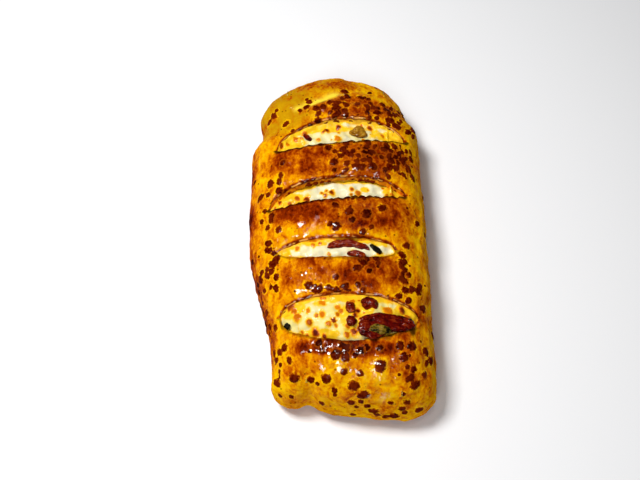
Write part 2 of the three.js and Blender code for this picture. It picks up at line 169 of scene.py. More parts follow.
# half widths left and right of the middle line, and how they change
outline = {
    "left": 60.0, "leftFold": (7.5, 82.0, 67.0), "leftTaper": (20.3, -4.0, -112.0),
    "right": 66.5, "rightFold": (8.0, 84.0, 104.0), "rightSpread": (2.2, 90.0, -20.0),
    "nearLeft": (3.0, -120.0, -136.0), "farLeft": (3.0, 92.0, 104.0),
    "nearRight": (1.6, -112.0, -128.0), "nearTuck": (4.0, -130.0, -145.0),
    "bulge": (0.4, 75.0, 30.0), "bulgePitch": 58.0, "bulgeAt": -62.0,
}
# the steps in the ends are changes across the loaf
nearEdge = {"from": -95.0, "to": -140.0, "right": (3.4, 52.0, 12.0), "left": (4.6, 18.0, -22.0),
            "notch": 3.8, "notchAt": -21.0, "notchReach": 6.5}
farEdge = {"from": 95.0, "to": 140.0, "left": (-3.6, -5.0, -40.0), "right": (4.0, 15.0, 48.0)}
# far and near say how far a slit's edges bow from its chord, power how pointed its halves are, and jag
# and char how torn and how burnt its near lip is
slits = [
    {"left": (-45.5, 57.5), "right": (54, 69.5), "far": 22.4, "near": 1.6, "depth": 9.0, "swell": 1.5,
     "power": (0.54, 0.72), "jag": 0.75, "char": 1.0, "seed": 21},
    {"left": (-50, 6.5), "right": (51.5, 18), "far": 17.4, "near": 0.8, "depth": 9.0, "swell": 1.5,
     "power": (0.45, 0.6), "jag": 0.85, "char": 1.0, "seed": 31},
    {"left": (-43.5, -31), "right": (41, -30), "far": 8.4, "near": 7.4, "depth": 7.0, "swell": 2.0,
     "power": (0.6, 0.35), "jag": 0.2, "char": 0.55, "seed": 41},
    {"left": (-41.5, -80), "right": (56, -81), "far": 13.6, "near": 19.4, "depth": 6.5, "swell": 4.5,
     "power": (0.5, 0.58), "jag": 0.25, "char": 0.6, "seed": 51},
]
lip = {"farDrop": 4.0, "nearDrop": 2.2, "farReach": 6.5, "nearReach": 4.5, "rim": 0.9, "round": 0.7,
       "sag": 1.6, "jagSizes": (2.2, 6.0), "farJag": 0.25, "calmTips": 0.3}
tipDepth = 4.9  # the cheese rises to this far below the dome at a slit's tips
healedSlit = {"left": (-34, 97), "right": (10, 116), "depth": 1.4, "reach": 3.2}
half = loaf["length"] / 2


def flankBulge(y):
    amount, start, stop = outline["bulge"]
    swing = np.sin(2 * math.pi * (y - outline["bulgeAt"]) / outline["bulgePitch"])
    return amount * swing * smooth(start, stop, y)


def leftEdge(y):
    fold, taper = grown(outline["leftFold"], y), grown(outline["leftTaper"], y)
    flare = grown(outline["nearLeft"], y) + grown(outline["farLeft"], y)
    return -(outline["left"] + fold) + taper - flare - 0.5 * flankBulge(y)


def rightEdge(y):
    fold, tuck = grown(outline["rightFold"], y), grown(outline["nearTuck"], y)
    spread = grown(outline["rightSpread"], y) + grown(outline["nearRight"], y)
    return outline["right"] - fold + spread - tuck + flankBulge(y)


def crown(y):
    return loaf["height"] - grown(topFall["far"], y) - grown(topFall["near"], y)


def waistHeight(y):
    return loaf["waist"] + (loaf["nearWaist"] - loaf["waist"]) * smooth(loaf["nearWaistFrom"], -half, y)


def endShift(x, y):
    # the ends aren't square: the near one steps back at its left and has a notch, the far one leans
    notch = nearEdge["notch"] * np.exp(-((x - nearEdge["notchAt"]) / nearEdge["notchReach"]) ** 2)
    near = grown(nearEdge["right"], x) + grown(nearEdge["left"], x) + notch
    far = grown(farEdge["left"], x) + grown(farEdge["right"], x)
    nearShare = smooth(nearEdge["from"], nearEdge["to"], y)
    return nearShare * near + smooth(farEdge["from"], farEdge["to"], y) * far


def closing(y, farPower, nearPower):
    # how far the loaf has closed at y: 1 along its body, 0 at its ends
    far = np.clip((y - (half - loaf["farCap"])) / loaf["farCap"], 0, 1)
    near = np.clip((-y - (half - loaf["nearCap"])) / loaf["nearCap"], 0, 1)
    return (1 - far ** farPower) ** (1 / farPower) * (1 - near ** nearPower) ** (1 / nearPower)


def domeHeight(x, y):
    left, right = leftEdge(y), rightEdge(y)
    across = np.minimum(np.abs((x - (left + right) / 2) / ((right - left) / 2)), loaf["domeEdge"])
    waist = waistHeight(y)
    return waist + (crown(y) - waist) * (1 - across ** loaf["domeRound"]) ** (1 / loaf["domeRound"])


def slitPlace(slit, x, y):
    # place along a slit's chord (-1 to 1), distance off it, and half the chord
    (ax, ay), (bx, by) = slit["left"], slit["right"]
    reach = math.hypot(bx - ax, by - ay) / 2
    dx, dy = (bx - ax) / (2 * reach), (by - ay) / (2 * reach)
    mx, my = x - (ax + bx) / 2, y - (ay + by) / 2
    return (mx * dx + my * dy) / reach, my * dx - mx * dy, reach


def lensWidth(slit, along):
    left, right = slit["power"]
    return np.maximum(1 - along * along, 0) ** np.where(along < 0, left, right)


def slitEdge(slit, x, side):
    # y of a slit's far (+1) or near (-1) edge at x; past its ends, the chord's own y
    (ax, ay), (bx, by) = slit["left"], slit["right"]
    slope = (by - ay) / (bx - ax)
    bow = slit["far"] if side > 0 else -slit["near"]
    off = 0 * x
    for _ in range(3):
        along = np.clip(2 * (x + off * slope - ax) / (bx - ax) - 1, -1, 1)
        off = bow * lensWidth(slit, along)
    fine, broad = lip["jagSizes"]
    ragged = slit["jag"] * (waves(x, 0 * x, fine, slit["seed"]) + waves(x, 0 * x, broad, slit["seed"] + 1))
    calm = smooth(0, lip["calmTips"], lensWidth(slit, along))
    ragged = ragged * calm * (1.0 if side < 0 else lip["farJag"])
    return ay + slope * (np.clip(x, ax, bx) - ax) + off + ragged


def slitDistance(slit, x, y):
    # how far a point lies outside a slit, and whether on its far side
    along, off, reach = slitPlace(slit, x, y)
    past = np.maximum(np.abs(along) - 1, 0) * reach
    edge = np.where(off >= 0, slit["far"], slit["near"]) * lensWidth(slit, along)
    away = np.where(past > 0, np.hypot(past, off), np.abs(off) - edge)
    return np.maximum(away, 0), off >= 0


def lipDip(x, y):
    # the dough rolls over towards every cut, more on a slit's far side
    dip = 0 * x
    for slit in slits:
        away, isFar = slitDistance(slit, x, y)
        drop = np.where(isFar, lip["farDrop"], lip["nearDrop"])
        reach = np.where(isFar, lip["farReach"], lip["nearReach"])
        inner = np.clip(1 - away / reach, 0, 1)
        roll = lip["round"] * (1 - np.sqrt(1 - inner ** 2))
        sag = (1 - lip["round"]) * np.exp(-(away / (lip["sag"] * reach)) ** 2)
        dip = np.maximum(dip, drop * (roll + sag))
    return dip


def healedDip(x, y):
    along, off, reach = slitPlace(healedSlit, x, y)
    past = np.maximum(np.abs(along) - 1, 0) * reach
    return healedSlit["depth"] * np.exp(-(np.hypot(past, off) / healedSlit["reach"]) ** 2)


def skinPoints(y, angle, inset=0.0):
    # points of the loaf's skin, or of one that lies inset below it
    wide = closing(y, loaf["farRound"], loaf["nearRound"])
    high = closing(y, loaf["farDome"], loaf["nearDome"])
    left, right = leftEdge(y), rightEdge(y)
    waist = waistHeight(y)
    isTop = np.sin(angle) >= -1e-9  # the sine of pi isn't quite 0
    power = 2 / np.where(isTop, loaf["domeRound"], loaf["baseRound"])
    across, up = signedPower(np.cos(angle), power), signedPower(np.sin(angle), power)
    x = (left + right) / 2 + ((right - left) / 2 - inset) * across * wide
    rise = np.where(isTop, crown(y) - inset - waist, waist + loaf["sink"])
    z = waist + rise * up * high
    return x, y, z, np.where(isTop, np.clip(up, 0, 1), 0)


def ringAngles(topSteps, baseSteps):
    top = np.linspace(0, math.pi, topSteps, endpoint=False)
    base = np.linspace(math.pi, 2 * math.pi, baseSteps, endpoint=False)
    return np.concatenate([top, base])


def endRows(start, stop, steps, power):
    # rows that crowd together as an end closes, from start to the loaf's very end at stop
    cap = loaf["farCap"] if stop > 0 else loaf["nearCap"]
    first = math.asin((1 - abs(stop - start) / cap) ** (power / 2))
    angles = np.linspace(first, math.pi / 2, steps + 1)[:-1]
    return math.copysign(1, stop) * (half - cap + cap * np.sin(angles) ** (2 / power))


def endPoints(inset=0.0):
    # the two points that close a skin, as long as its ends are square
    return np.array([skinPoints(np.array(side * half), np.array(0.0), inset)[:3] for side in (1, -1)])


def gridMesh(name, x, y, z, ends):
    # a closed mesh from rows of points that go round the loaf, and the two points that close it
    rows, columns = x.shape
    verts = np.concatenate([np.stack([x, y, z], -1).reshape(-1, 3), ends]) * mm
    i, j = np.meshgrid(np.arange(rows - 1), np.arange(columns), indexing="ij")
    a, b = i * columns + j, i * columns + (j + 1) % columns
    quads = np.stack([a, b, b + columns, a + columns], -1).reshape(-1, 4)
    j = np.arange(columns)
    k = (j + 1) % columns
    last = (rows - 1) * columns
    fans = np.concatenate([
        np.stack([np.full(columns, rows * columns), k, j], -1),
        np.stack([np.full(columns, rows * columns + 1), last + j, last + k], -1),
    ])
    mesh = bpy.data.meshes.new(name)
    mesh.from_pydata(verts.tolist(), [], quads.tolist() + fans.tolist())
    mesh.shade_smooth()
    return mesh


def addObject(name, mesh):
    item = bpy.data.objects.new(name, mesh)
    bpy.context.scene.collection.objects.link(item)
    return item


def setAttribute(mesh, name, values):
    mesh.attributes.new(name, "FLOAT", "POINT").data.foreach_set("value", values.astype(np.float32).ravel())


def setFields(mesh, fields):
    # a value for each point of a grid, and 0 for the two points that close it
    for name, field in fields.items():
        setAttribute(mesh, name, np.concatenate([field.ravel(), np.zeros(2)]))


def bake(item):
    # the item's modifiers become plain mesh
    mesh = bpy.data.meshes.new_from_object(item.evaluated_get(bpy.context.evaluated_depsgraph_get()))
    item.modifiers.clear()
    item.data = mesh


def patchField(patches, x, y):
    # a field that rises to each patch's amount at its middle and fades at its edge
    gone, full = 1.35, 0.65  # shares of the patch's size
    field = 0 * x
    for px, py, rx, ry, amount in patches:
        far = np.hypot((x - px) / rx, (y - py) / ry)
        field = np.maximum(field, amount * smooth(gone, full, far))
    return field


# the crust

crustSet = {
    "topColumns": 204, "baseColumns": 44, "farRows": 42, "nearRows": 40,
    "segmentRows": (26, 40, 38, 42, 30), "farStart": 105.0, "nearStart": -118.0,
    "hollowRows": 40, "hollowTop": 36, "hollowBase": 12,
    # the wall of a cut, from its rim down: distance in from the rim, and depth below it
    "farWall": ((0, 0), (0.3, 0.06), (0.6, 0.3), (0.85, 0.75), (1.1, 1.5), (1.5, 2.6), (2.0, 4.0),
                (2.5, 5.6), (3.1, 8.0), (3.8, 11.5)),
    "nearWall": ((1.2, 11.5), (0.8, 8.0), (0.6, 5.0), (0.55, 3.0), (0.6, 1.7), (0.55, 0.8),
                 (0.3, 0.2), (0, 0)),
    # places with many small blisters: middle x and y, half width and length, and how thickly they lie
    "blistered": (
        (12, 97, 42, 12, 0.7), (-44, 90, 16, 22, 0.05), (50, 90, 12, 18, 0.8), (46, 50, 15, 19, 0.95),
        (20, 48, 26, 15, 0.75), (-38, 47, 9, 5, 0.25), (-52, 22, 12, 26, 0.32), (17, 4, 16, 9, 0.2),
        (-52, -40, 10, 24, 0.5), (22, -42, 9, 8, 0.2), (-3, -62, 26, 4, 0.6), (52, -52, 11, 30, 0.42),
        (60, 24, 8, 60, 0.07), (2, -106, 26, 6, 0.3), (54, -108, 12, 18, 0.2), (22, -140, 26, 6, 0.06),
        (-47, -116, 8, 26, 0.12), (-52, -84, 7, 16, 0.45), (62, -90, 6, 36, 0.14),
    ),
    "strayBlisters": 0.006,
    # the blisters that stand out: x, y and radius
    "bigBlisters": (
        (-2, 87.5, 2.6), (7, 88.5, 2.6), (-15, 84, 2.8), (-21, 81, 2.2), (-1, 95, 2.2), (8, 98.5, 2.0),
        (17, 100, 2.4), (30, 98.5, 2.4), (25, 96, 1.8), (8, 110, 2.0), (23, 109, 1.5), (32, 87.5, 1.8),
        (41, 87, 2.2), (39.5, 98, 2.0), (49, 81.5, 2.3), (-35, 76, 1.7), (28, 117.5, 1.8), (-24, 108, 1.6),
        (-7, 55, 2.8), (5, 52.5, 2.8), (12, 51.5, 2.0), (-2, 42, 3.0), (7, 41, 2.3), (-2, 35, 1.9),
        (4, 31.5, 2.0), (26.5, 51.5, 2.9), (24, 44, 2.5), (28.5, 38, 2.3), (19, 37.5, 2.5),
        (38.5, 57.5, 2.0), (41, 47, 2.5), (40, 40, 2.3), (49, 56, 1.7), (49, 49.5, 1.7), (-41.5, 44, 2.3),
        (-50.5, 28, 3.0), (-44, 20.5, 2.6), (-52, 18.5, 2.0), (-43.5, 28.5, 1.9),
        (8, -1.5, 3.2), (20.5, -3.5, 3.5), (-1.5, -14, 3.1), (11, -8, 2.3), (18, -18, 2.4),
        (-5.5, -12, 2.0), (24.5, -13.5, 1.9), (-49, 0, 2.6), (-52, -9, 2.0), (-56.5, -2, 1.9),
        (-43.5, -13, 2.3), (-54.5, 6.5, 1.9),
        (-44.5, -36, 3.3), (-52, -27, 1.9), (-46.5, -31, 2.0), (18, -43, 2.9), (21.5, -50, 2.0),
        (28, -43, 1.8), (-2, -55, 2.2), (45.5, -40, 2.6), (47.5, -46, 2.3), (51, -49, 1.9), (45, -53.5, 2.2),
        (-51, -43, 1.9), (-44, -50.5, 2.2), (-44, -59, 2.2), (-48.5, -56, 1.8), (52, -61, 2.3),
        (-2, -64, 2.4), (-13, -62.5, 2.4), (49, -70, 2.2), (59, -72.5, 1.9),
        (-38, -102, 2.7), (-34.5, -114, 2.3), (-30.5, -130.5, 3.4), (-9, -131.5, 3.3), (-14.5, -135.5, 1.6),
        (3.5, -125, 2.3), (14, -125, 2.2), (10, -133, 3.6), (17, -137.5, 3.2), (15, -140.5, 1.9),
        (8.5, -141.5, 2.5), (-41.5, -121, 1.6), (-33, -140, 1.9), (-41, -138, 1.8), (-12, -143.5, 2.3),
        (27.5, -119, 3.6), (41.5, -103.5, 2.6), (49, -103.5, 3.2), (44.5, -111, 3.2), (46, -118, 1.6),
        (51, -119, 2.3), (47, -125.5, 2.3), (52, -128, 3.2), (43.5, -141, 2.4), (38.5, -144, 3.4),
        (55.5, -139.5, 2.5), (19.5, -142.5, 2.1), (12, -143, 1.7), (59.5, -103.5, 2.3), (63.5, -109.5, 2.8),
        (4.5, -107, 3.0), (4.5, -114, 2.9), (-2, -112, 3.6), (11, -112, 1.9), (-2.5, -139, 1.4),
        (44, -134.5, 1.6), (40.5, -123.5, 1.2), (48, -109.5, 1.1), (-41.5, -104.5, 2.3), (-40.5, -116, 1.6),
        (-12, -108, 1.6), (-20, -111, 1.4), (20, -107, 1.6),
    ),
    # dark blobs on the far wall of a cut: which cut, x and radius
    "wallBlobs": (
        (0, -21, 2.2), (0, -17, 1.6), (0, -7.5, 2.2), (0, 0, 2.5), (0, 11, 1.8), (0, 26, 2.2), (0, -34, 1.8),
        (1, -21, 2.5), (1, -16, 2.2), (1, -11, 1.8), (1, -6.5, 1.7), (1, 11, 1.6), (1, 18, 2.6),
        (1, 22.5, 3.0), (1, 26.5, 2.3), (1, 44, 1.6), (1, -36, 2.4), (2, 24, 1.7), (2, -12, 1.3),
        (3, -33, 2.4), (3, -37, 2.0), (3, -7, 1.8), (3, 41, 2.0), (3, 47, 1.8),
    ),
    # toasted places: middle x and y, half width and length, and how brown they are
    "toasted": (
        (14, 98, 42, 10, 0.6), (14, 45, 42, 16, 0.72), (-28, 46, 26, 15, 0.7), (8, 2, 50, 18, 0.74),
        (-24, 4, 24, 15, 0.82), (24, -50, 26, 17, 0.66), (-20, -50, 26, 14, 0.44), (2, -106, 42, 7, 0.85),
        (44, -112, 12, 20, 0.4), (4, -124, 26, 8, 0.12), (62, -92, 9, 40, 0.45), (-8, 126, 28, 8, 0.4),
        # the last place, on the left flank, is painted shade on the side the key light favours
        (-57, -20, 10, 90, 0.2),
    ),
    # painted shade: the far ends turn a darker, olive gold where they face away from the light
    "paintedEndShade": ((-46, 104, 30, 30, 0.7), (-20, 126, 30, 14, 0.4), (60, 100, 12, 24, 0.3)),
    "burns": ((51, -91.5, 2.6, 4.2, 1.0), (-38.5, -86.5, 2.2, 2.6, 0.8)),
    "toastUp": (0.35, 0.85),  # how far up the flanks the toasted places fade in
    # the rolled far rim of a cut browns most, and a broken pale line of painted highlight runs along it
    "rimToast": 0.95, "rimReach": (3.2, 1.2), "rimGrease": 0.3,
    "paintedRimGlint": (0.5, 1.2), "paintedRimGlintTips": (0.05, 0.3),
    "burn": {"reach": (3.7, 1.8), "ragged": 0.9, "size": 5.0},  # along the near lips
    # the dough darkens towards the bottom, by height
    "darkerLow": (0.9, 9.0, 3.0),  # by height
    # left flank: patches of browning and painted shade; how far up it and along it, how brown, how large
    "leftFlank": {"up": (0.62, 0.3), "far": (110.0, 80.0), "near": (-125.0, -100.0), "toastAndShade": (0.55, 0.5),
                  "size": 16.0},
    # the pale dough in the healed slit: how far off its chord, how wide, how it fades at its tips, and
    # how patchy it is
    "paleStreak": {"off": -0.6, "width": 2.7, "left": (-1.1, -0.75), "right": (0.85, 0.4),
                   "patchy": (1.3, 0.7), "size": 9.0, "most": 0.95},
    "layers": (
        {"Spacing": 4.7 * mm, "Density": 150000.0, "Smallest": 1.7 * mm, "Largest": 2.8 * mm,
         "Height": 0.7 * mm, "Ragged": 1.2 * mm, "Ragged Scale": perSize(3.2), "Seed": 4},
        {"Spacing": 2.8 * mm, "Density": 20000.0, "Smallest": 0.6 * mm, "Largest": 1.3 * mm,
         "Height": 0.25 * mm, "Ragged": 1.0 * mm, "Ragged Scale": perSize(2.2), "Seed": 9},
    ),
    "wrinkles": (
        {"Mask": "relief", "Height": 0.9 * mm, "Scale": perSize(12.0), "Detail": 2.0, "Seed": 1.0},
        {"Mask": "relief", "Height": 0.16 * mm, "Scale": perSize(4.5), "Detail": 1.0, "Seed": 5.0},
        {"Mask": "greasy", "Height": 0.32 * mm, "Scale": perSize(4.0), "Detail": 1.0, "Seed": 7.0,
         "Stretch": (0.6, 1.1, 1.0)},
    ),
    # greasy places, where glints show: middle x and y, half width and length, and how wet
    "greasyPlaces": (
        (-9.5, -109, 14, 6.5, 1.0), (9, -108.5, 9.5, 7, 1.0), (-1, -122, 12.5, 5.5, 0.9),
        (26, -110.5, 3.5, 4.5, 1.0), (27.5, -119, 6.5, 5.5, 1.0), (33, -125, 6, 5, 1.0),
        (29.5, -132, 5.5, 6.5, 1.0), (19.5, -133.5, 2.5, 5, 0.9), (37, -113.5, 5, 7.5, 1.0),
        (15, -126, 3, 3, 0.8), (21, 3.5, 9, 2.6, 1.0), (8, -14.5, 12, 5.5, 0.9),
        (-28.5, -11.5, 3.2, 1.0, 0.6), (-24.5, -20, 5, 0.9, 0.6), (20, -19, 11, 2, 1.0),
        (-25.5, -51, 5.5, 1.3, 0.8), (11, 34, 10, 4, 0.8), (-18, 31, 6, 1.6, 0.7), (29, 33, 16, 4.5, 0.8),
        (-16, -64, 13, 2.6, 0.9), (19.5, -63.5, 5, 3, 1.0), (17.5, 90, 12, 3, 0.7), (15.5, 101, 4.5, 3, 0.6),
        (-0.5, 108, 11, 5, 0.5),
    ),
    "slightGrease": 0.03,
    # how dark each cut face is, from the far slit to the near one, within cutReach of it
    "cutTones": (-0.4, 0.1, -0.12, -0.28), "cutReach": 2.0,
    # creases along the flanks: height, size, how drawn out, and where they fade along and up the loaf
    "flankRidge": 0.55, "flankPitch": 5.0, "flankDrawn": 6.0, "flankEnds": (120.0, 90.0),
    "flankUp": (0.15, 0.4), "flankDown": (0.95, 0.7),
    "swells": ((0.7, 34.0, 3), (0.35, 13.0, 4)),  # of the top: height, size and seed
    # a low step where the dough is folded over the far end: across is measured along its leaning line
    "farFold": {"step": 2.2, "across": (6.0, 16.0), "along": (106.0, 122.0), "lean": 0.25, "at": 120.0},
    "wallRoom": 0.6,  # between the far and the near wall of a cut
    "torn": (1.5, 5.0), "deepFrom": (0.4, 5.5),  # the walls' depth near a cut's tips: raggedness, and width
    # depths at which a cut's faces take their colours, the burnt one apart for deep and for shallow rows
    "cutFrom": (0.1, 0.7), "faceFrom": (0.1, 0.6), "charFrom": (-0.2, 0.9), "deepRow": 0.5,
    "charDeep": (0.5, 3.0), "charShallow": (0.02, 0.3),
    "topDepth": 0.5, "paintedRimGlintDepth": 0.6, "greaseDepth": 0.4,  # the top's own looks end at these depths
    # blisters and wrinkles come in by height, and fade with the depth in a cut
    "blistersUp": (6.0, 14.0), "blistersDown": (0.2, 0.6),
    "reliefUp": (2.0, 9.0), "reliefDown": (0.6, 0.3, 1.0),
    "swellsUp": (0.2, 0.8), "carveUp": 1.6,  # how far up the flanks the swells and the dips come in
    "crowding": 0.16, "capGap": 0.8,  # rows crowd towards the cuts, and keep this far from the end caps
    "blobsIn": 0.8,  # where the wall blobs lie, as a share of the rim
}


def wallRow(slit, x, inward, depth, isFar):
    # one row of a cut's wall: its y, and how deep it lies there
    far = slitEdge(slit, x, 1) + lip["rim"]
    near = slitEdge(slit, x, -1) - lip["rim"]
    width = far - near
    room = crustSet["farWall"][-1][0] + crustSet["nearWall"][0][0] + crustSet["wallRoom"]
    squeeze = np.minimum(1, width / room)
    y = far - inward * squeeze if isFar else near + inward * squeeze
    amount, size = crustSet["torn"]
    torn = amount * waves(x, 3 * inward + (0 if isFar else 20), size, slit["seed"] + 5)
    opened = width - 2 * lip["rim"]
    return y, depth * smooth(*crustSet["deepFrom"], opened + torn * smooth(0, 2, opened))


def crustRowList():
    # every row as (function of x that gives y and depth, cut face amount, charred amount)
    rows = []

    def between(first, last, steps):
        for i in range(steps):
            share = (i + 0.5) / steps
            share = share - crustSet["crowding"] * math.sin(2 * math.pi * share) / math.pi
            rows.append((lambda x, s=share: (first(x) + (last(x) - first(x)) * s, 0 * x), 0, 0))

    edges = [lambda x: crustSet["farStart"] + 0 * x]
    for slit in slits:
        edges.append(lambda x, s=slit: slitEdge(s, x, 1) + lip["rim"])
        edges.append(lambda x, s=slit: slitEdge(s, x, -1) - lip["rim"])
    edges.append(lambda x: crustSet["nearStart"] + 0 * x)
    for number, steps in enumerate(crustSet["segmentRows"]):
        between(edges[2 * number], edges[2 * number + 1], steps)
        if number == len(slits):
            break
        slit = slits[number]
        for inward, depth in crustSet["farWall"]:
            cut = smooth(*crustSet["cutFrom"], depth)
            rows.append((lambda x, s=slit, i=inward, d=depth: wallRow(s, x, i, d, True), cut, 0))
        for inward, depth in crustSet["nearWall"]:
            char = smooth(*crustSet["charFrom"], depth)
            rows.append((lambda x, s=slit, i=inward, d=depth: wallRow(s, x, i, d, False), 0, char))
    return rows


def crustGrid(angle):
    # y, depth in a cut, cut face and charred at every point, row by row from the far end
    flat = 0 * angle
    clear = crustSet["capGap"]
    farCap = endRows(crustSet["farStart"] + clear, half, crustSet["farRows"], loaf["farRound"])[::-1]
    nearCap = endRows(crustSet["nearStart"] - clear, -half, crustSet["nearRows"], loaf["nearRound"])
    rows = [(y + flat, flat, flat, flat) for y in farCap]
    for place, cut, char in crustRowList():
        y = flat
        for _ in range(4):  # each row bends with the skin, so its place is found step by step
            x = skinPoints(y, angle)[0]
            y, depth = place(x)
        isDeep = np.max(depth) > crustSet["deepRow"]
        opened = smooth(*crustSet["charDeep" if isDeep else "charShallow"], depth)
        rows.append((y, depth, cut * smooth(*crustSet["faceFrom"], depth), char * opened))
    rows += [(y + flat, flat, flat, flat) for y in nearCap]
    return [np.array(values) for values in zip(*rows)]


def crustFields(x, y, z, up, depth, cutFace, charred):
    # what the dough's finish and relief read at every point
    onTop = depth < crustSet["topDepth"]
    burn, flank, pale = crustSet["burn"], crustSet["leftFlank"], crustSet["paleStreak"]
    farRim, paintedRimGlint, cutTone = 0 * x, 0 * x, 0 * x
    for slit, tone in zip(slits, crustSet["cutTones"]):
        away, isFar = slitDistance(slit, x, y)
        farRim = np.maximum(farRim, smooth(*crustSet["rimReach"], away) * isFar * onTop)
        ragged = burn["ragged"] * waves(x, y, burn["size"], slit["seed"] + 2)
        burnt = smooth(*burn["reach"], away + ragged) * slit["char"]
        charred = np.maximum(charred, burnt * ~isFar * onTop)
        # a pale line of painted highlight along each far rim
        edge = slitEdge(slit, x, 1)
        nearest, farthest = crustSet["paintedRimGlint"]
        onLine = (edge + farthest > y) * (edge + nearest < y) * (depth < crustSet["paintedRimGlintDepth"])
        tips = smooth(*crustSet["paintedRimGlintTips"], lensWidth(slit, slitPlace(slit, x, y)[0]))
        paintedRimGlint = np.maximum(paintedRimGlint, onLine * tips)
        cutTone = np.where(away < crustSet["cutReach"], tone, cutTone)
    charred = np.maximum(charred, patchField(crustSet["burns"], x, y))

    toastAndShade = patchField(crustSet["toasted"], x, y) * smooth(*crustSet["toastUp"], up)
    toastAndShade = np.maximum(toastAndShade, crustSet["rimToast"] * farRim)
    # darker towards the bottom
    toastAndShade = np.maximum(toastAndShade, grown(crustSet["darkerLow"], z) * (np.abs(y) < half))
    # the left flank darkens: partly browning, partly painted shade on the side the key light favours
    onFlank = smooth(*flank["up"], up) * (x < 0) * smooth(*flank["far"], y) * smooth(*flank["near"], y)
    brown, patchy = flank["toastAndShade"]
    toastAndShade = np.maximum(toastAndShade, (brown + patchy * waves(x, y, flank["size"], 14)) * onFlank)

    mask = patchField(crustSet["blistered"], x, y) + crustSet["strayBlisters"]
    mask = mask * smooth(*crustSet["blistersUp"], z) * (1 - smooth(*crustSet["blistersDown"], depth))
    along, off, reach = slitPlace(healedSlit, x, y)
    streak = np.exp(-((off - pale["off"]) / pale["width"]) ** 2)
    streak = streak * smooth(*pale["left"], along) * smooth(*pale["right"], along)
    even, patchy = pale["patchy"]
    streak = np.clip(streak * (even + patchy * waves(x, y, pale["size"], 12)), 0, pale["most"])
    greasy = np.maximum(patchField(crustSet["greasyPlaces"], x, y), crustSet["rimGrease"] * farRim)
    greasy = greasy * (depth < crustSet["greaseDepth"]) + crustSet["slightGrease"]
    relief = smooth(*crustSet["reliefUp"], z) * (1 - grown(crustSet["reliefDown"], depth))
    return {"toastAndShade": toastAndShade, "blisterMask": mask, "cutFace": cutFace, "charred": charred, "streak": streak,
            "greasy": greasy, "cutTone": cutTone, "relief": relief, "paintedRimGlint": paintedRimGlint,
            "paintedEndShade": patchField(crustSet["paintedEndShade"], x, y)}


def makeCrustMesh():
    angle = ringAngles(crustSet["topColumns"], crustSet["baseColumns"])
    y, depth, cutFace, charred = crustGrid(angle)
    x, y, z, up = skinPoints(y, angle[None, :] + 0 * y)
    dip = lipDip(x, y) + healedDip(x, y)
    farFold = crustSet["farFold"]
    leaning = x + farFold["lean"] * (y - farFold["at"])
    fold = farFold["step"] * smooth(*farFold["across"], leaning) * smooth(*farFold["along"], y)
    broad = sum(height * waves(x, y, size, seed) for height, size, seed in crustSet["swells"])
    carved = dip + depth + fold - broad * smooth(*crustSet["swellsUp"], up)
    z = z - carved * np.minimum(up * crustSet["carveUp"], 1)
    crease = waves(z, y / crustSet["flankDrawn"], crustSet["flankPitch"], 6)
    crease = crease * smooth(*crustSet["flankUp"], up) * smooth(*crustSet["flankDown"], up)
    x = x + crustSet["flankRidge"] * crease * np.sign(x) * smooth(*crustSet["flankEnds"], np.abs(y))
    ends = endPoints()
    ends[:, 1] += endShift(ends[:, 0], ends[:, 1])
    mesh = gridMesh("crust", x, y + endShift(x, y), np.maximum(z, 0), ends)
    setFields(mesh, crustFields(x, y, z, up, depth, cutFace, charred))
    return mesh


def skinGrid(rows, topSteps, baseSteps, capRows, inset):
    # x, y, z and up of a skin that lies inset below the loaf's own, and the points that close it
    angle = ringAngles(topSteps, baseSteps)
    farCap = endRows(rows[0] + 1, half, capRows, loaf["farRound"])[::-1]
    nearCap = endRows(rows[-1] - 1, -half, capRows, loaf["nearRound"])
    y = np.concatenate([farCap, rows, nearCap])[:, None] + 0 * angle
    x, y, z, up = skinPoints(y, angle[None, :] + 0 * y, inset)
    return x, y, z, up, endPoints(inset)


def cutHollow(item):
    # the crust is a shell: the room for the filling opens into every slit
    inset, capRows = loaf["dough"], 10
    rows = np.linspace(crustSet["farStart"], crustSet["nearStart"], crustSet["hollowRows"])
    x, y, z, up, ends = skinGrid(rows, crustSet["hollowTop"], crustSet["hollowBase"], capRows, inset)
    shrink = 1 - inset / half
    ends[:, 1] = ends[:, 1] * shrink + endShift(ends[:, 0], ends[:, 1])
    mesh = gridMesh("hollow", x, y * shrink + endShift(x, y), np.maximum(z, inset), ends)
    hollow = addObject("hollow", mesh)
    cut = item.modifiers.new("hollow", "BOOLEAN")
    cut.operation, cut.solver, cut.object = "DIFFERENCE", "MANIFOLD", hollow
    bake(item)
    bpy.data.objects.remove(hollow)


# what follows a surface: raised spots, and an uneven skin

def newTree(name, sockets):
    # a node tree with these named inputs: returns it and its input sockets
    tree = bpy.data.node_groups.new(name, "GeometryNodeTree")
    tree.is_modifier = True
    for label, kind, value in sockets:
        socket = tree.interface.new_socket(label, in_out="INPUT", socket_type="NodeSocket" + kind)
        if value is not None:
            socket.default_value = value
    tree.interface.new_socket("Geometry", in_out="OUTPUT", socket_type="NodeSocketGeometry")
    return tree, addNode(tree, "NodeGroupInput").outputs


def endTree(tree, given, geometry):
    real = addNode(tree, "GeometryNodeRealizeInstances", None, {"Geometry": geometry})
    dressed = addNode(tree, "GeometryNodeSetMaterial", None,
                      {"Geometry": real.outputs[0], "Material": given["Material"]})
    addNode(tree, "NodeGroupOutput", None, {0: dressed.outputs[0]})
    return tree


def liftSurface(tree, given, lift):
    # the given geometry with every point moved out along its normal
    outwards = addNode(tree, "GeometryNodeInputNormal").outputs[0]
    offset = put(tree, "longer", outwards, lift)
    return addNode(tree, "GeometryNodeSetPosition", None, {
        "Geometry": given["Geometry"], "Offset": offset}).outputs[0]


noSpot = -2.0  # what a spot field says far from every spot
spotFlank = (-0.15, 0.45)  # where a spot's lift starts and is full, by the field


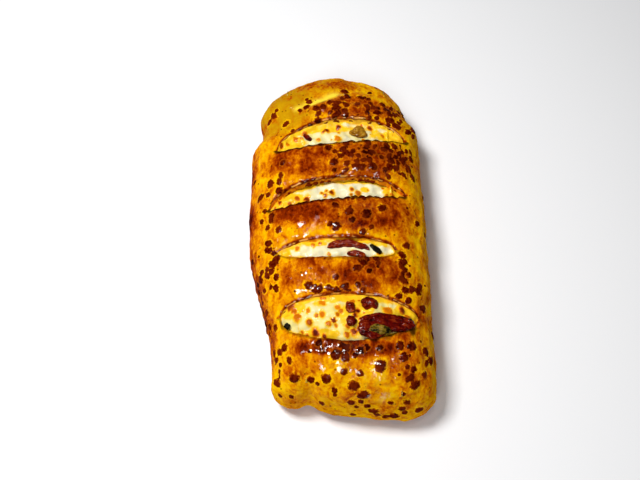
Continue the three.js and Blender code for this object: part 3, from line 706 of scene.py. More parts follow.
def spotTree():
    # Scatters spots where a mask is high, beside those given one by one, and lifts the surface over each.
    # The field then says how far inside a spot every point lies: 1 at its middle, 0 at its rim.
    tree, given = newTree("raisedSpots", (
        ("Geometry", "Geometry", None), ("Placed", "Object", None), ("Mask", "String", "mask"),
        ("Field", "String", "spot"), ("Spacing", "Float", 0.003), ("Density", "Float", 60000.0),
        ("Smallest", "Float", 0.001), ("Largest", "Float", 0.002), ("Height", "Float", 0.0004),
        ("Ragged", "Float", 0.001), ("Ragged Scale", "Float", 400.0), ("Stretch", "Float", 0.5),
        ("Seed", "Int", 1), ("Material", "Material", None)))
    scattered = addNode(tree, "GeometryNodeDistributePointsOnFaces", {"distribute_method": "POISSON"}, {
        "Mesh": given["Geometry"], "Distance Min": given["Spacing"], "Density Max": given["Density"],
        "Density Factor": put(tree, "field", given["Mask"]), "Seed": given["Seed"]})
    draw = addNode(tree, "FunctionNodeRandomValue", {"data_type": "FLOAT"}, {"Seed": given["Seed"]})
    tree.links.new(given["Smallest"], draw.inputs[2])
    tree.links.new(given["Largest"], draw.inputs[3])
    sized = put(tree, "keep", scattered.outputs["Points"], "size", draw.outputs[1])
    placed = addNode(tree, "GeometryNodeObjectInfo", None, {"Object": given["Placed"]})
    placed = addNode(tree, "GeometryNodeMeshToPoints", None, {"Mesh": placed.outputs["Geometry"]})
    joined = addNode(tree, "GeometryNodeJoinGeometry")
    tree.links.new(sized, joined.inputs[0])
    tree.links.new(placed.outputs[0], joined.inputs[0])
    turn = addNode(tree, "FunctionNodeRandomValue", {"data_type": "FLOAT_VECTOR"}, {
        0: (-1.0, -1.0, -1.0), 1: (1.0, 1.0, 1.0), "Seed": given["Seed"]})
    turn = put(tree, "unit", turn.outputs[0])
    points = put(tree, "keepVector", joined.outputs[0], "axis", turn)

    here = addNode(tree, "GeometryNodeInputPosition").outputs[0]
    noise = addNode(tree, "ShaderNodeTexNoise", None,
                    {"Vector": here, "Scale": given["Ragged Scale"], "Detail": 1.5})
    centred = put(tree, "apart", noise.outputs["Color"], (0.5, 0.5, 0.5))
    warped = put(tree, "moved", here, put(tree, "longer", centred, given["Ragged"]))
    nearest = addNode(tree, "GeometryNodeSampleNearest", {"domain": "POINT"},
                      {"Geometry": points, "Sample Position": warped}).outputs[0]

    def ofNearest(value, kind):
        return addNode(tree, "GeometryNodeSampleIndex", {"data_type": kind, "domain": "POINT"},
                       {"Geometry": points, "Value": value, "Index": nearest}).outputs[0]

    middle = ofNearest(here, "FLOAT_VECTOR")
    size = ofNearest(put(tree, "field", "size"), "FLOAT")
    axis = ofNearest(put(tree, "vectorField", "axis"), "FLOAT_VECTOR")
    away = put(tree, "apart", warped, middle)
    along = put(tree, "dot", away, axis)
    alongSquare = put(tree, "times", put(tree, "times", along, along), given["Stretch"])
    square = put(tree, "dot", away, away)
    reach = put(tree, "root", put(tree, "minus", square, alongSquare))
    inside = put(tree, "minus", 1.0, put(tree, "over", reach, size))

    lift = put(tree, "times", put(tree, "step", inside, *spotFlank), given["Height"])
    lift = put(tree, "times", lift, put(tree, "over", size, given["Largest"]))
    field = put(tree, "larger", put(tree, "field", given["Field"]), inside)
    return endTree(tree, given, put(tree, "keep", liftSurface(tree, given, lift), given["Field"], field))


def unevenTree():
    # moves a surface in and out along its normals by noise, or by sharp creases where Crease is 1
    tree, given = newTree("unevenSkin", (
        ("Geometry", "Geometry", None), ("Mask", "String", "relief"), ("Height", "Float", 0.0005),
        ("Scale", "Float", 200.0), ("Detail", "Float", 2.0), ("Crease", "Float", 0.0),
        ("Stretch", "Vector", (1.0, 1.0, 1.0)), ("Seed", "Float", 0.0), ("Material", "Material", None)))
    here = addNode(tree, "GeometryNodeInputPosition").outputs[0]
    place = put(tree, "drawnOut", here, given["Stretch"])
    noise = addNode(tree, "ShaderNodeTexNoise", {"noise_dimensions": "4D"}, {
        "Vector": place, "W": given["Seed"], "Scale": given["Scale"], "Detail": given["Detail"]}).outputs[0]
    swing = put(tree, "scaled", noise, 4.0, -2.0)  # noise keeps near 0.25 to 0.75, which becomes -1 to 1
    fold = put(tree, "scaled", put(tree, "unsigned", swing), -2.0, 1.0)
    mixed = addNode(tree, "ShaderNodeMix", {"data_type": "FLOAT"}, {0: given["Crease"], 2: swing, 3: fold})
    mixed = mixed.outputs[0]
    lift = put(tree, "times", put(tree, "times", mixed, given["Height"]), put(tree, "field", given["Mask"]))
    return endTree(tree, given, put(tree, "keep", liftSurface(tree, given, lift), "crest", mixed))


trees = {"spots": spotTree(), "uneven": unevenTree()}


def runTree(item, name, values):
    # runs a tree on an item with these inputs, and keeps the result as plain mesh
    work = item.modifiers.new(name, "NODES")
    work.node_group = trees[name]
    ids = {s.name: s.identifier for s in trees[name].interface.items_tree if s.in_out == "INPUT"}
    for label, value in values.items():
        work[ids[label]] = value
    bake(item)


def pointsOf(mesh):
    points = np.empty(len(mesh.vertices) * 3, np.float32)
    mesh.vertices.foreach_get("co", points)
    return points.reshape(-1, 3)


def placedSpots(item, table):
    # an object of loose points, each on the item's upper surface at a spot of the table
    points = pointsOf(item.data)
    lowest = 12 * mm
    upper = points[points[:, 2] > lowest]
    found = []
    for x, y, size in table:
        away = np.hypot(upper[:, 0] - x * mm, upper[:, 1] - (y + endShift(x, y)) * mm)
        found.append(upper[np.argmin(away)].tolist())
    mesh = bpy.data.meshes.new("spots")
    mesh.from_pydata(found, [], [])
    setAttribute(mesh, "size", np.array([size for x, y, size in table]) * mm)
    return addObject("spots", mesh)


def moveMesh(mesh, shift):
    # moves a mesh, and keeps it above the floor
    points = pointsOf(mesh) + np.array(shift, np.float32)
    points[:, 2] = np.maximum(points[:, 2], 0)
    mesh.vertices.foreach_set("co", points.ravel())
    mesh.update()


# finishes

def newMaterial(name):
    # a material with its shader, and the place on the object that its patterns read
    material = bpy.data.materials.new(name)
    material.use_nodes = True
    tree = material.node_tree
    tree.nodes.clear()
    shader = addNode(tree, "ShaderNodeBsdfPrincipled")
    addNode(tree, "ShaderNodeOutputMaterial", None, {"Surface": shader.outputs[0]})
    place = addNode(tree, "ShaderNodeTexCoord").outputs["Object"]
    return material, tree, shader, place


def readings(tree, place, look):
    # the fields and the patterns that a finish reads, by their names; a stretch draws a pattern out
    fields = {name: addNode(tree, "ShaderNodeAttribute", {"attribute_name": name}).outputs["Fac"]
              for name in look["fields"]}
    patterns = {}
    for name, (size, detail, rough, start, warp, stretch) in look["patterns"].items():
        at = put(tree, "drawnOut", place, stretch) if stretch else place
        patterns[name] = addNode(tree, "ShaderNodeTexNoise", {"noise_dimensions": "4D"}, {
            "Vector": at, "Scale": perSize(size), "Detail": detail, "Roughness": rough, "W": start,
            "Distortion": warp}).outputs[0]
    return fields, patterns


crustLook = {
    "fields": ("toastAndShade", "paintedEndShade", "streak", "blister", "paintedRimGlint", "cutTone", "cutFace", "charred", "greasy"),
    "toastAndShade": ((0.0, "F9BE05"), (0.18, "EEA402"), (0.36, "DA8002"), (0.54, "B85402"), (0.74, "8A2A00"),
              (1.0, "4C0800")),
    # each pattern's size in mm, detail, roughness, start, warp and stretch
    "patterns": {
        "mottle": (17.0, 3.0, 0.5, 0.0, 0.4, None), "cloud": (5.0, 2.0, 0.55, 3.0, 0.8, (1.0, 0.55, 1.0)),
        "grain": (2.0, 2.0, 0.6, 6.0, 0.0, None), "ragged": (1.6, 2.0, 0.5, 7.0, 0.0, None),
        "lighter": (7.5, 2.0, 0.5, 16.0, 0.0, None), "thin": (7.0, 2.0, 0.5, 14.0, 0.0, None),
        "broken": (3.6, 2.0, 0.5, 12.0, 0.0, None), "pits": (2.0, 2.0, 0.5, 5.0, 0.8, None),
    },
    # how much each pattern and the toasted places count in how brown the dough is
    "shares": {"mottle": 1.1, "cloud": 1.05, "grain": 0.6}, "toastShare": 0.63, "even": 0.25,
    "speckSize": 3.4, "speckChance": 0.66, "speckReach": 0.26, "speckShare": 0.75, "speckEdge": (-0.02, 0.05),
    "blister": "4A0700", "blisterDark": "2A0200", "blisterMiddle": "6E2004", "blisterLight": "742404",
    # the pale ring round each blister is a painted highlight
    "ringOnGold": "FFC40A", "ringOnBrown": "D67E0C", "blisterRust": "9C3E02", "gold": (0.6, 0.3),
    # where each part of a blister starts and is full, by the blister field, with what each end counts
    "ragged": (1.2, -0.6), "ring": (-0.62, -0.3), "ringShare": (0.45, 0.2), "rust": (-0.32, 0.0),
    "top": (-0.1, 0.2), "middle": (0.05, 0.35), "middleGrain": (0.42, 0.56),
    "middleShare": (1.0, 0.1, 0.05, 0.75), "browned": (0.55, 1.05), "brownedRagged": 0.3,
    "lighter": (0.46, 0.6, 0.0, 0.55),
    # the far ends' darker gold is painted shade
    # the pale rim colour is a painted highlight
    "streak": "FFE640", "paintedEndShade": "B08408", "paintedRimGlint": "F4AC4C", "paintedRimGlintThin": (0.48, 0.6, 0.0, 0.9),
    # a cut face by its paleness, the blobs on it, and the burnt lips
    "crumb": ((0.35, "FACA34"), (0.62, "EC9610"), (0.95, "B4500A")), "crumbCloud": 1.3,
    "wallBlob": "6E1404", "blobEdge": (-0.04, 0.15), "blobShare": 0.95, "char": "260702", "charShare": 0.9,
    "roughness": 0.27, "roughSpread": 0.3, "glints": (0.46, 0.52),
    # how much the pits, the grain and the blisters count in the bump
    "pits": 0.6, "grain": 0.25, "blisterBump": (-0.1, 0.25, 0.0, 0.3), "bump": 0.5, "coatBump": 0.16,
    "shader": {"Specular IOR Level": 0.0, "Coat Roughness": 0.06, "Coat IOR": 2.1},
}


def blisteredColour(tree, look, pattern, inside, level, colour):
    # blisters: a pale ring, a rusty rim and a dark top, browner on brown dough, with lighter places
    # the pale ring is a painted highlight, where light catches a blister's raised edge
    isGold = put(tree, "step", level, *look["gold"])
    ringShare = put(tree, "scaled", isGold, *look["ringShare"])
    ringColour = put(tree, "blend", isGold, look["ringOnBrown"], look["ringOnGold"])
    ring = put(tree, "times", put(tree, "step", inside, *look["ring"]), ringShare)
    colour = put(tree, "blend", ring, colour, ringColour)
    colour = put(tree, "blend", put(tree, "step", inside, *look["rust"]), colour, look["blisterRust"])
    browned = put(tree, "plus", level, put(tree, "times", pattern["ragged"], look["brownedRagged"]))
    browned = put(tree, "step", browned, *look["browned"])
    spot = put(tree, "blend", browned, look["blister"], look["blisterDark"])
    grain = put(tree, "step", pattern["grain"], *look["middleGrain"])
    middle = put(tree, "times", put(tree, "step", inside, *look["middle"]), grain)
    middle = put(tree, "times", middle, put(tree, "step", browned, *look["middleShare"]))
    spot = put(tree, "blend", middle, spot, look["blisterMiddle"])
    lighter = put(tree, "step", pattern["lighter"], *look["lighter"])
    spot = put(tree, "blend", lighter, spot, look["blisterLight"])
    return put(tree, "blend", put(tree, "step", inside, *look["top"]), colour, spot)


def bakedDough():
    # oven-baked wheat dough brushed with butter: golden, toasted where it stands proud, and
    # greasy in patches, where broken glints show
    look = crustLook
    material, tree, shader, place = newMaterial("bakedDough")
    field, pattern = readings(tree, place, look)
    even = look["even"] - 0.5 * sum(look["shares"].values())
    level = put(tree, "scaled", field["toastAndShade"], look["toastShare"], even)
    for name, share in look["shares"].items():
        level = put(tree, "plus", level, put(tree, "times", pattern[name], share))
    colour = addNode(tree, "ShaderNodeValToRGB", None, {0: level}, look["toastAndShade"]).outputs[0]
    # painted shade on the far ends
    paintedEndShade = put(tree, "times", field["paintedEndShade"], put(tree, "step", level, *look["gold"]))
    colour = put(tree, "blend", paintedEndShade, colour, look["paintedEndShade"])
    colour = put(tree, "blend", field["streak"], colour, look["streak"])

    # small dark specks
    cells = {"Vector": place, "Scale": perSize(look["speckSize"])}
    specks = addNode(tree, "ShaderNodeTexVoronoi", None, cells)
    chance = addNode(tree, "ShaderNodeSeparateColor", None, {0: specks.outputs["Color"]}).outputs[0]
    size = put(tree, "step", chance, look["speckChance"], 1.0, 0.0, look["speckReach"])
    speck = put(tree, "step", put(tree, "minus", size, specks.outputs["Distance"]), *look["speckEdge"])
    colour = put(tree, "blend", put(tree, "times", speck, look["speckShare"]), colour, look["blister"])

    inside = put(tree, "plus", field["blister"], put(tree, "scaled", pattern["ragged"], *look["ragged"]))
    colour = blisteredColour(tree, look, pattern, inside, level, colour)
    # painted highlight: a broken pale line along each far rim
    thin = put(tree, "step", pattern["thin"], *look["paintedRimGlintThin"])
    colour = put(tree, "blend", put(tree, "times", field["paintedRimGlint"], thin), colour, look["paintedRimGlint"])

    # the faces of the cuts, and their burnt lips
    paleness = put(tree, "plus", put(tree, "times", pattern["cloud"], look["crumbCloud"]), field["cutTone"])
    blob = put(tree, "times", put(tree, "step", inside, *look["blobEdge"]), look["blobShare"])
    crumb = addNode(tree, "ShaderNodeValToRGB", None, {0: paleness}, look["crumb"]).outputs[0]
    crumb = put(tree, "blend", blob, crumb, look["wallBlob"])
    colour = put(tree, "blend", field["cutFace"], colour, crumb)
    colour = put(tree, "blend", put(tree, "times", field["charred"], look["charShare"]), colour, look["char"])

    greasy = put(tree, "times", field["greasy"], put(tree, "step", pattern["broken"], *look["glints"]))
    rough = put(tree, "scaled", pattern["cloud"], look["roughSpread"], look["roughness"])
    bumps = put(tree, "step", inside, *look["blisterBump"])
    for name in ("pits", "grain"):
        bumps = put(tree, "plus", bumps, put(tree, "times", pattern[name], look[name]))
    setInputs(tree, shader, {
        "Base Color": colour, "Coat Weight": greasy, "Roughness": rough, **look["shader"],
        "Normal": put(tree, "bump", bumps, look["bump"] * mm),
        "Coat Normal": put(tree, "bump", pattern["pits"], look["coatBump"] * mm),  # butter fills the grain
    })
    return material


cheeseLook = {
    "fields": ("tint", "edge", "spot", "browned"),
    "white": "EEE6BE", "cream": "ECDC88", "butter": "F8C61C", "orange": "E07E02", "brown": "9E3402",
    "dark": "560C01",
    "patterns": {"wide": (9.0, 3.0, 0.5, 2.0, 0.5, None), "fine": (2.6, 3.0, 0.55, 4.0, 0.0, None)},
    # how the patterns sway the cream, the fat and a bubble's rim
    "creamWide": (2.0, -1.0), "fatWide": (1.6, -0.8), "fatFine": (0.8, -0.4), "rimFine": (0.7, -0.35),
    # where each colour starts and is full: by the fat, and by the field of the bubbles
    "fatButter": (0.25, 0.75), "fatOrange": (0.95, 1.5, 0.0, 0.6), "spotButter": (-0.95, -0.1),
    "spotOrange": (-0.25, 0.15), "spotBrown": (0.05, 0.4), "spotDark": (0.2, 0.55), "darkFrom": (0.6, 1.0),
    "fineBump": 0.6, "wideBump": 0.6,
    "bump": 0.6, "coatBump": 0.8,
    "shader": {"Roughness": 0.4, "Specular IOR Level": 0.1, "Coat Weight": 0.2, "Coat Roughness": 0.1,
               "Subsurface Weight": 0.1, "Subsurface Radius": (1.0, 0.7, 0.4), "Subsurface Scale": 2 * mm},
}


def meltedCheese():
    # mozzarella that melted and set: creamy white and wet, yellow with fat near the dough, with
    # orange rings round its browned bubbles
    look = cheeseLook
    material, tree, shader, place = newMaterial("meltedMozzarella")
    field, pattern = readings(tree, place, look)
    wide, fine = pattern["wide"], pattern["fine"]
    creamy = put(tree, "plus", field["tint"], put(tree, "scaled", wide, *look["creamWide"]))
    colour = put(tree, "blend", put(tree, "step", creamy, 0.0, 1.0), look["white"], look["cream"])
    fat = put(tree, "plus", field["edge"], put(tree, "scaled", wide, *look["fatWide"]))
    fat = put(tree, "plus", fat, put(tree, "scaled", fine, *look["fatFine"]))
    inside = put(tree, "plus", field["spot"], put(tree, "scaled", fine, *look["rimFine"]))
    for value, reach, tone in ((fat, "fatButter", "butter"), (fat, "fatOrange", "orange"),
                               (inside, "spotButter", "butter"), (inside, "spotOrange", "orange")):
        colour = put(tree, "blend", put(tree, "step", value, *look[reach]), colour, look[tone])
    dark = field["browned"]
    brown = put(tree, "times", put(tree, "step", inside, *look["spotBrown"]), dark)
    colour = put(tree, "blend", brown, colour, look["brown"])
    deep = put(tree, "step", dark, *look["darkFrom"])
    deep = put(tree, "times", put(tree, "step", inside, *look["spotDark"]), deep)
    colour = put(tree, "blend", deep, colour, look["dark"])
    bumps = put(tree, "times", wide, look["wideBump"])
    bumps = put(tree, "plus", put(tree, "times", fine, look["fineBump"]), bumps)
    setInputs(tree, shader, {
        "Base Color": colour, **look["shader"], "Normal": put(tree, "bump", bumps, look["bump"] * mm),
        "Coat Normal": put(tree, "bump", wide, look["coatBump"] * mm),
    })
    return material


wetSet = {
    "oil": (3.0, 2.0, 0.5, 10.0, 0.0, None), "grain": (1.5, 2.0, 0.5, 9.0, 0.0, None),
    "cloud": (3.0, 0.6), "cloudWarp": 0.5, "oily": (0.46, 0.56),  # detail and roughness, and where oil lies
    "crestShare": 0.34, "patchShare": 1.2, "even": -0.1,
    "bump": 0.6, "coatBump": 0.5, "shader": {"Specular IOR Level": 0.04, "Coat Roughness": 0.06},
}


def wetPiece(name, look):
    # a cooked, oily piece: colour runs from painted shade in hollows to painted highlight on crests; it
    # glistens
    material, tree, shader, place = newMaterial(name)
    cloud = (look["patch"], *wetSet["cloud"], look["offset"], wetSet["cloudWarp"], None)
    field, pattern = readings(tree, place, {"fields": ("crest",), "patterns": {
        "cloud": cloud, "oil": wetSet["oil"], "grain": wetSet["grain"]}})
    # painted shade and painted highlight: darker in the hollows, lighter on the crests
    level = put(tree, "scaled", field["crest"], wetSet["crestShare"], wetSet["even"])
    level = put(tree, "plus", level, put(tree, "times", pattern["cloud"], wetSet["patchShare"]))
    oily = put(tree, "step", pattern["oil"], *wetSet["oily"])
    setInputs(tree, shader, {
        "Base Color": addNode(tree, "ShaderNodeValToRGB", None, {0: level}, look["colours"]).outputs[0],
        "Roughness": look["roughness"], "Coat Weight": put(tree, "times", oily, look["coat"]),
        **wetSet["shader"],
        "Normal": put(tree, "bump", pattern["grain"], wetSet["bump"] * mm),
        "Coat Normal": put(tree, "bump", pattern["grain"], wetSet["coatBump"] * mm),
    })
    return material


# the crust is made

def makeCrust():
    item = addObject("crust_dough", makeCrustMesh())
    points = pointsOf(item.data)
    low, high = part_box("crust")
    shift = (np.array(low) + np.array(high)) / 2 - (points.min(0) + points.max(0)) / 2
    shift[2] = 0
    setAttribute(item.data, "blister", np.full(len(points), noSpot))
    dough = bakedDough()
    onWalls = []
    for number, x, size in crustSet["wallBlobs"]:
        edge = float(slitEdge(slits[number], np.array(float(x)), 1))
        onWalls.append((x, edge - lip["rim"] * crustSet["blobsIn"], size))
    placed = placedSpots(item, list(crustSet["bigBlisters"]) + onWalls)
    nothing = addObject("nothing", bpy.data.meshes.new("nothing"))
    for number, layer in enumerate(crustSet["layers"]):
        runTree(item, "spots", {"Mask": "blisterMask", "Field": "blister", "Material": dough,
                                "Placed": nothing if number else placed, **layer})
    for layer in crustSet["wrinkles"]:
        runTree(item, "uneven", {"Material": dough, **layer})
    for extra in (placed, nothing):
        bpy.data.objects.remove(extra)
    cutHollow(item)
    moveMesh(item.data, shift)
    return item, shift


crust, shift = makeCrust()
print("stage: crust", len(crust.data.polygons))


# the cheese

cheeseSet = {
    "fineRows": 0.65, "coarseRows": 4.0, "topColumns": 190, "baseColumns": 16, "gap": 0.4,
    "climb": (3.0, -1.0, 1.0, 1.0), "climbReach": 4.5,  # how far it clings up the far wall of each slit
    "rises": (-1.4, -0.7), "bubblesFrom": (0, 2),  # distances inside a slit where it rises, and bubbles
    # it is yellow along a slit's edges, and most of all along the far one
    "fatEdge": (3.5, 0.3), "fatFarEdge": (5.5, 1), "fatShare": 0.85,
    # how dark the small bubbles are, and how far past its rim a large one's own tone reaches
    "browned": 0.35, "bubbleReach": 1.0,
    "fineNear": 3, "fineFar": 2, "capRows": 12,
    "tint": (0.55, 0.15, 0.3, 0.8),  # how creamy it is in each slit, from white to cream
    "fatty": (  # yellow places: x, y, half width and length, and how yellow
        (-36, 64, 12, 8, 1.0), (46, 73, 12, 7, 1.1), (-10, 79, 36, 4, 0.8), (32, 74, 7, 5, 0.7),
        (-38, 14, 13, 7, 1.1), (44, 21, 9, 7, 1.2), (21, 22, 4, 3, 0.9), (-40, -31, 6, 6, 1.1),
        (-17, -25, 12, 3, 0.8), (34, -35, 6, 4, 0.6), (10, -69, 30, 4, 1.0), (47, -78, 9, 9, 0.9),
        (12, -83, 12, 12, 0.9), (-32, -75, 9, 7, 1.0), (-18, -95, 18, 4, 0.9), (-14, -72, 6, 4, 0.6),
    ),
    # browned bubbles: x, y, radius and how dark
    "bubbles": (
        (-21, -78, 1.6, 0.1), (-11.5, -81.5, 2.1, 0.3), (-28.5, -81.5, 2.8, 0.45), (-20.5, -86.5, 2.2, 0.7),
        (-16, -93.5, 2.7, 0.95), (-9.5, -96.5, 1.8, 0.9), (-22, -95, 1.8, 1.0), (-33.5, -73, 3.6, 0.8),
        (-31, -76.5, 2.2, 0.5), (-11, -72.5, 2.2, 0.0), (-1, -77, 1.8, 0.1), (-4.5, -86, 2.6, 0.85),
        (-1, -82.5, 1.3, 0.4), (-7.5, -88.5, 1.7, 0.3), (2, -80, 1.5, 0.3), (13.5, -79.5, 2.2, 1.0),
        (11, -83, 2.0, 0.95), (11, -94, 2.5, 0.8), (14, -92, 2.3, 1.0), (16, -86, 2.3, 1.0),
        (9.5, -72.5, 2.2, 0.2), (34, -78.5, 3.2, 0.25), (44.5, -77, 2.4, 0.85), (48, -82, 2.7, 0.4),
        (-12, -68.5, 1.2, 0.3), (6, -90.5, 1.7, 0.5), (-2, -89.5, 1.2, 0.3), (5, -96, 1.6, 0.6),
        (-29, -28.5, 1.7, 0.2), (-18.5, -27, 1.6, 0.1), (-13, -25.5, 1.4, 0.6), (-7, -34, 1.0, 0.2),
        (-12, 18.5, 1.4, 0.7), (-9, 16.5, 1.6, 0.8), (-5, 18.5, 2.1, 0.85), (-8.5, 20.5, 1.2, 0.4),
        (10.5, 21.5, 1.6, 0.75), (15, 18.5, 1.9, 0.45), (-23, 13, 2.7, 0.85), (-30.5, 15, 2.2, 0.7),
        (-36, 11, 1.6, 0.5), (-43, 13, 2.2, 0.85), (42, 19.5, 1.6, 0.5), (37.5, 18, 1.2, 0.1),
        (-43, 63, 2.2, 0.7), (-32, 69, 2.3, 0.4), (-14, 68, 1.4, 0.1), (0, 69, 2.2, 0.15), (36, 74, 1.8, 0.1),
        (-25, 74, 2.2, 0.7), (-8, 77, 2.2, 0.9), (1, 80, 2.4, 0.9), (26, 80.5, 2.2, 0.8), (-38, 65, 1.6, 0.3),
    ),
    "smallBubbles": {"Spacing": 7.5 * mm, "Density": 7000.0, "Smallest": 0.5 * mm, "Largest": 1.3 * mm,
                     "Height": 0.3 * mm, "Ragged": 2.0 * mm, "Ragged Scale": perSize(2.4), "Seed": 3},
    "lumps": ({"Height": 0.5 * mm, "Scale": perSize(7.0), "Detail": 2.0, "Seed": 2.0},
              {"Height": 0.15 * mm, "Scale": perSize(2.6), "Detail": 1.0, "Seed": 4.0}),
}


# low uneven lumps: height, and two crossed waves, as turns for each mm along x and y and a start
lumps = ((0.9, (0.31, 0.17, 1.3), (0.12, -0.36, math.pi / 2)), (0.5, (0.62, -0.23, 0.4), (0.27, 0.71, 0.0)))


def cheeseLumps(x, y):
    def wave(perX, perY, start):
        return np.sin(perX * x + perY * y + start)

    return sum(height * wave(*first) * wave(*second) for height, first, second in lumps)


def cheeseHeight(slit, x, y):
    # the cheese wells up along a slit's middle line
    along, off, reach = slitPlace(slit, x, y)
    narrowest = 0.05
    width = np.maximum(lensWidth(slit, np.clip(along, -1, 1)), narrowest)
    middle = (slit["far"] - slit["near"]) / 2 * width
    across = (off - middle) / ((slit["far"] + slit["near"]) / 2 * width + 1)
    body = np.clip(1 - along ** 4, 0, 1)
    well = slit["swell"] * np.maximum(1 - across ** 2, 0) * body
    depth = tipDepth + (slit["depth"] - tipDepth) * body
    return domeHeight(x, y) - depth + well + cheeseLumps(x, y)


def slitInside(slit, x, y):
    # how far inside a slit's edge a point lies, negative outside, and how far from its far edge
    along, off, reach = slitPlace(slit, x, y)
    width = lensWidth(slit, np.clip(along, -1, 1))
    fromFar, fromNear = slit["far"] * width - off, off + slit["near"] * width
    within = np.where(np.abs(along) > 1, -(np.abs(along) - 1) * reach - 0.5, np.minimum(fromFar, fromNear))
    return within, fromFar


def cheeseRows():
    rows, y = [], crustSet["farStart"]
    while y > crustSet["nearStart"]:
        rows.append(y)
        isFine = any(s["left"][1] - s["near"] - cheeseSet["fineNear"] < y
                     < max(s["left"][1], s["right"][1]) + s["far"] + cheeseSet["fineFar"] for s in slits)
        y -= cheeseSet["fineRows"] if isFine else cheeseSet["coarseRows"]
    return np.array(rows)


def makeCheese():
    inset = loaf["dough"] + cheeseSet["gap"]
    x, y, z, up, ends = skinGrid(cheeseRows(), cheeseSet["topColumns"], cheeseSet["baseColumns"],
                                 cheeseSet["capRows"], inset)
    shrink = 1 - inset / half
    ends[:, 1] *= shrink
    y = y * shrink
    edge, mask, tint = 0 * x, 0 * x, 0 * x
    for slit, cream, cling in zip(slits, cheeseSet["tint"], cheeseSet["climb"]):
        inside, fromFar = slitInside(slit, x, y)
        share = smooth(*cheeseSet["rises"], inside) * (up > 0)
        climb = cling * smooth(cheeseSet["climbReach"], 0, fromFar)
        z = z + (cheeseHeight(slit, x, y) + climb - z) * share
        nearby = np.maximum(smooth(*cheeseSet["fatEdge"], inside), smooth(*cheeseSet["fatFarEdge"], fromFar))
        edge = np.maximum(edge, share * nearby * cheeseSet["fatShare"])
        mask = np.maximum(mask, share * smooth(*cheeseSet["bubblesFrom"], inside))
        tint = np.maximum(tint, share * cream)
    edge = np.maximum(edge, patchField(cheeseSet["fatty"], x, y))
    browned = cheeseSet["browned"] + 0 * x
    for bx, by, size, dark in cheeseSet["bubbles"]:
        browned = np.where(np.hypot(x - bx, y - by) < size + cheeseSet["bubbleReach"], dark, browned)
    ends[:, 1] += endShift(ends[:, 0], ends[:, 1])
    mesh = gridMesh("cheese", x, y + endShift(x, y), np.maximum(z, inset), ends)
    setFields(mesh, {"edge": edge, "mask": mask, "tint": tint, "browned": browned, "relief": mask})
    setAttribute(mesh, "spot", np.full(len(mesh.vertices), noSpot))
    item = addObject("cheese_filling", mesh)
    finish = meltedCheese()
    placed = placedSpots(item, [bubble[:3] for bubble in cheeseSet["bubbles"]])
    runTree(item, "spots", {"Mask": "mask", "Field": "spot", "Material": finish, "Placed": placed,
                            **cheeseSet["smallBubbles"]})
    bpy.data.objects.remove(placed)
    for layer in cheeseSet["lumps"]:
        runTree(item, "uneven", {"Mask": "relief", "Material": finish, **layer})
    moveMesh(item.data, shift)
    return item


cheese = makeCheese()
print("stage: cheese", len(cheese.data.polygons))


# peppers, meat and charred leaves in the slits

wetLooks = {
    # roasted red pepper: skin and flesh gone dark red in the oven, wrinkled and oily
    "roastedPepper": {"colours": ((0.1, "120000"), (0.4, "3A0201"), (0.66, "600602"), (1.0, "A03C10")),
                      "patch": 6.0, "offset": 1.0, "roughness": 0.3, "coat": 0.7, "slot": "roasted_pepper"},
    # cooked green pepper: olive flesh with dark, burnt skin along one side
    "greenPepper": {"colours": ((0.3, "0C0A04"), (0.45, "2E2406"), (0.6, "6E5810"), (1.0, "A88430")),
                    "patch": 5.0, "offset": 2.0, "roughness": 0.35, "coat": 0.5, "slot": "green_pepper"},
    # a thinner slice of it, gone olive brown
    "oliveSlice": {"colours": ((0.2, "2A1402"), (0.42, "6E3E05"), (0.64, "9E6A10"), (1.0, "CC9A2C")),
                   "patch": 5.0, "offset": 5.0, "roughness": 0.35, "coat": 0.5, "slot": "green_pepper"},
    # fried sausage and ham: dark red-brown and greasy
    "friedMeat": {"colours": ((0.1, "1C0101"), (0.4, "480502"), (0.7, "781604"), (1.0, "B85618")),
                  "patch": 4.0, "offset": 3.0, "roughness": 0.32, "coat": 0.7, "slot": "meat"},
    # charred leaf and pepper skin: blackish green, dry at its edges
    "charredLeaf": {"colours": ((0.3, "060403"), (0.6, "120D06"), (0.85, "261E0C"), (1.0, "4A3A18")),
                    "patch": 3.0, "offset": 4.0, "roughness": 0.5, "coat": 0.25, "slot": "herb"},
}

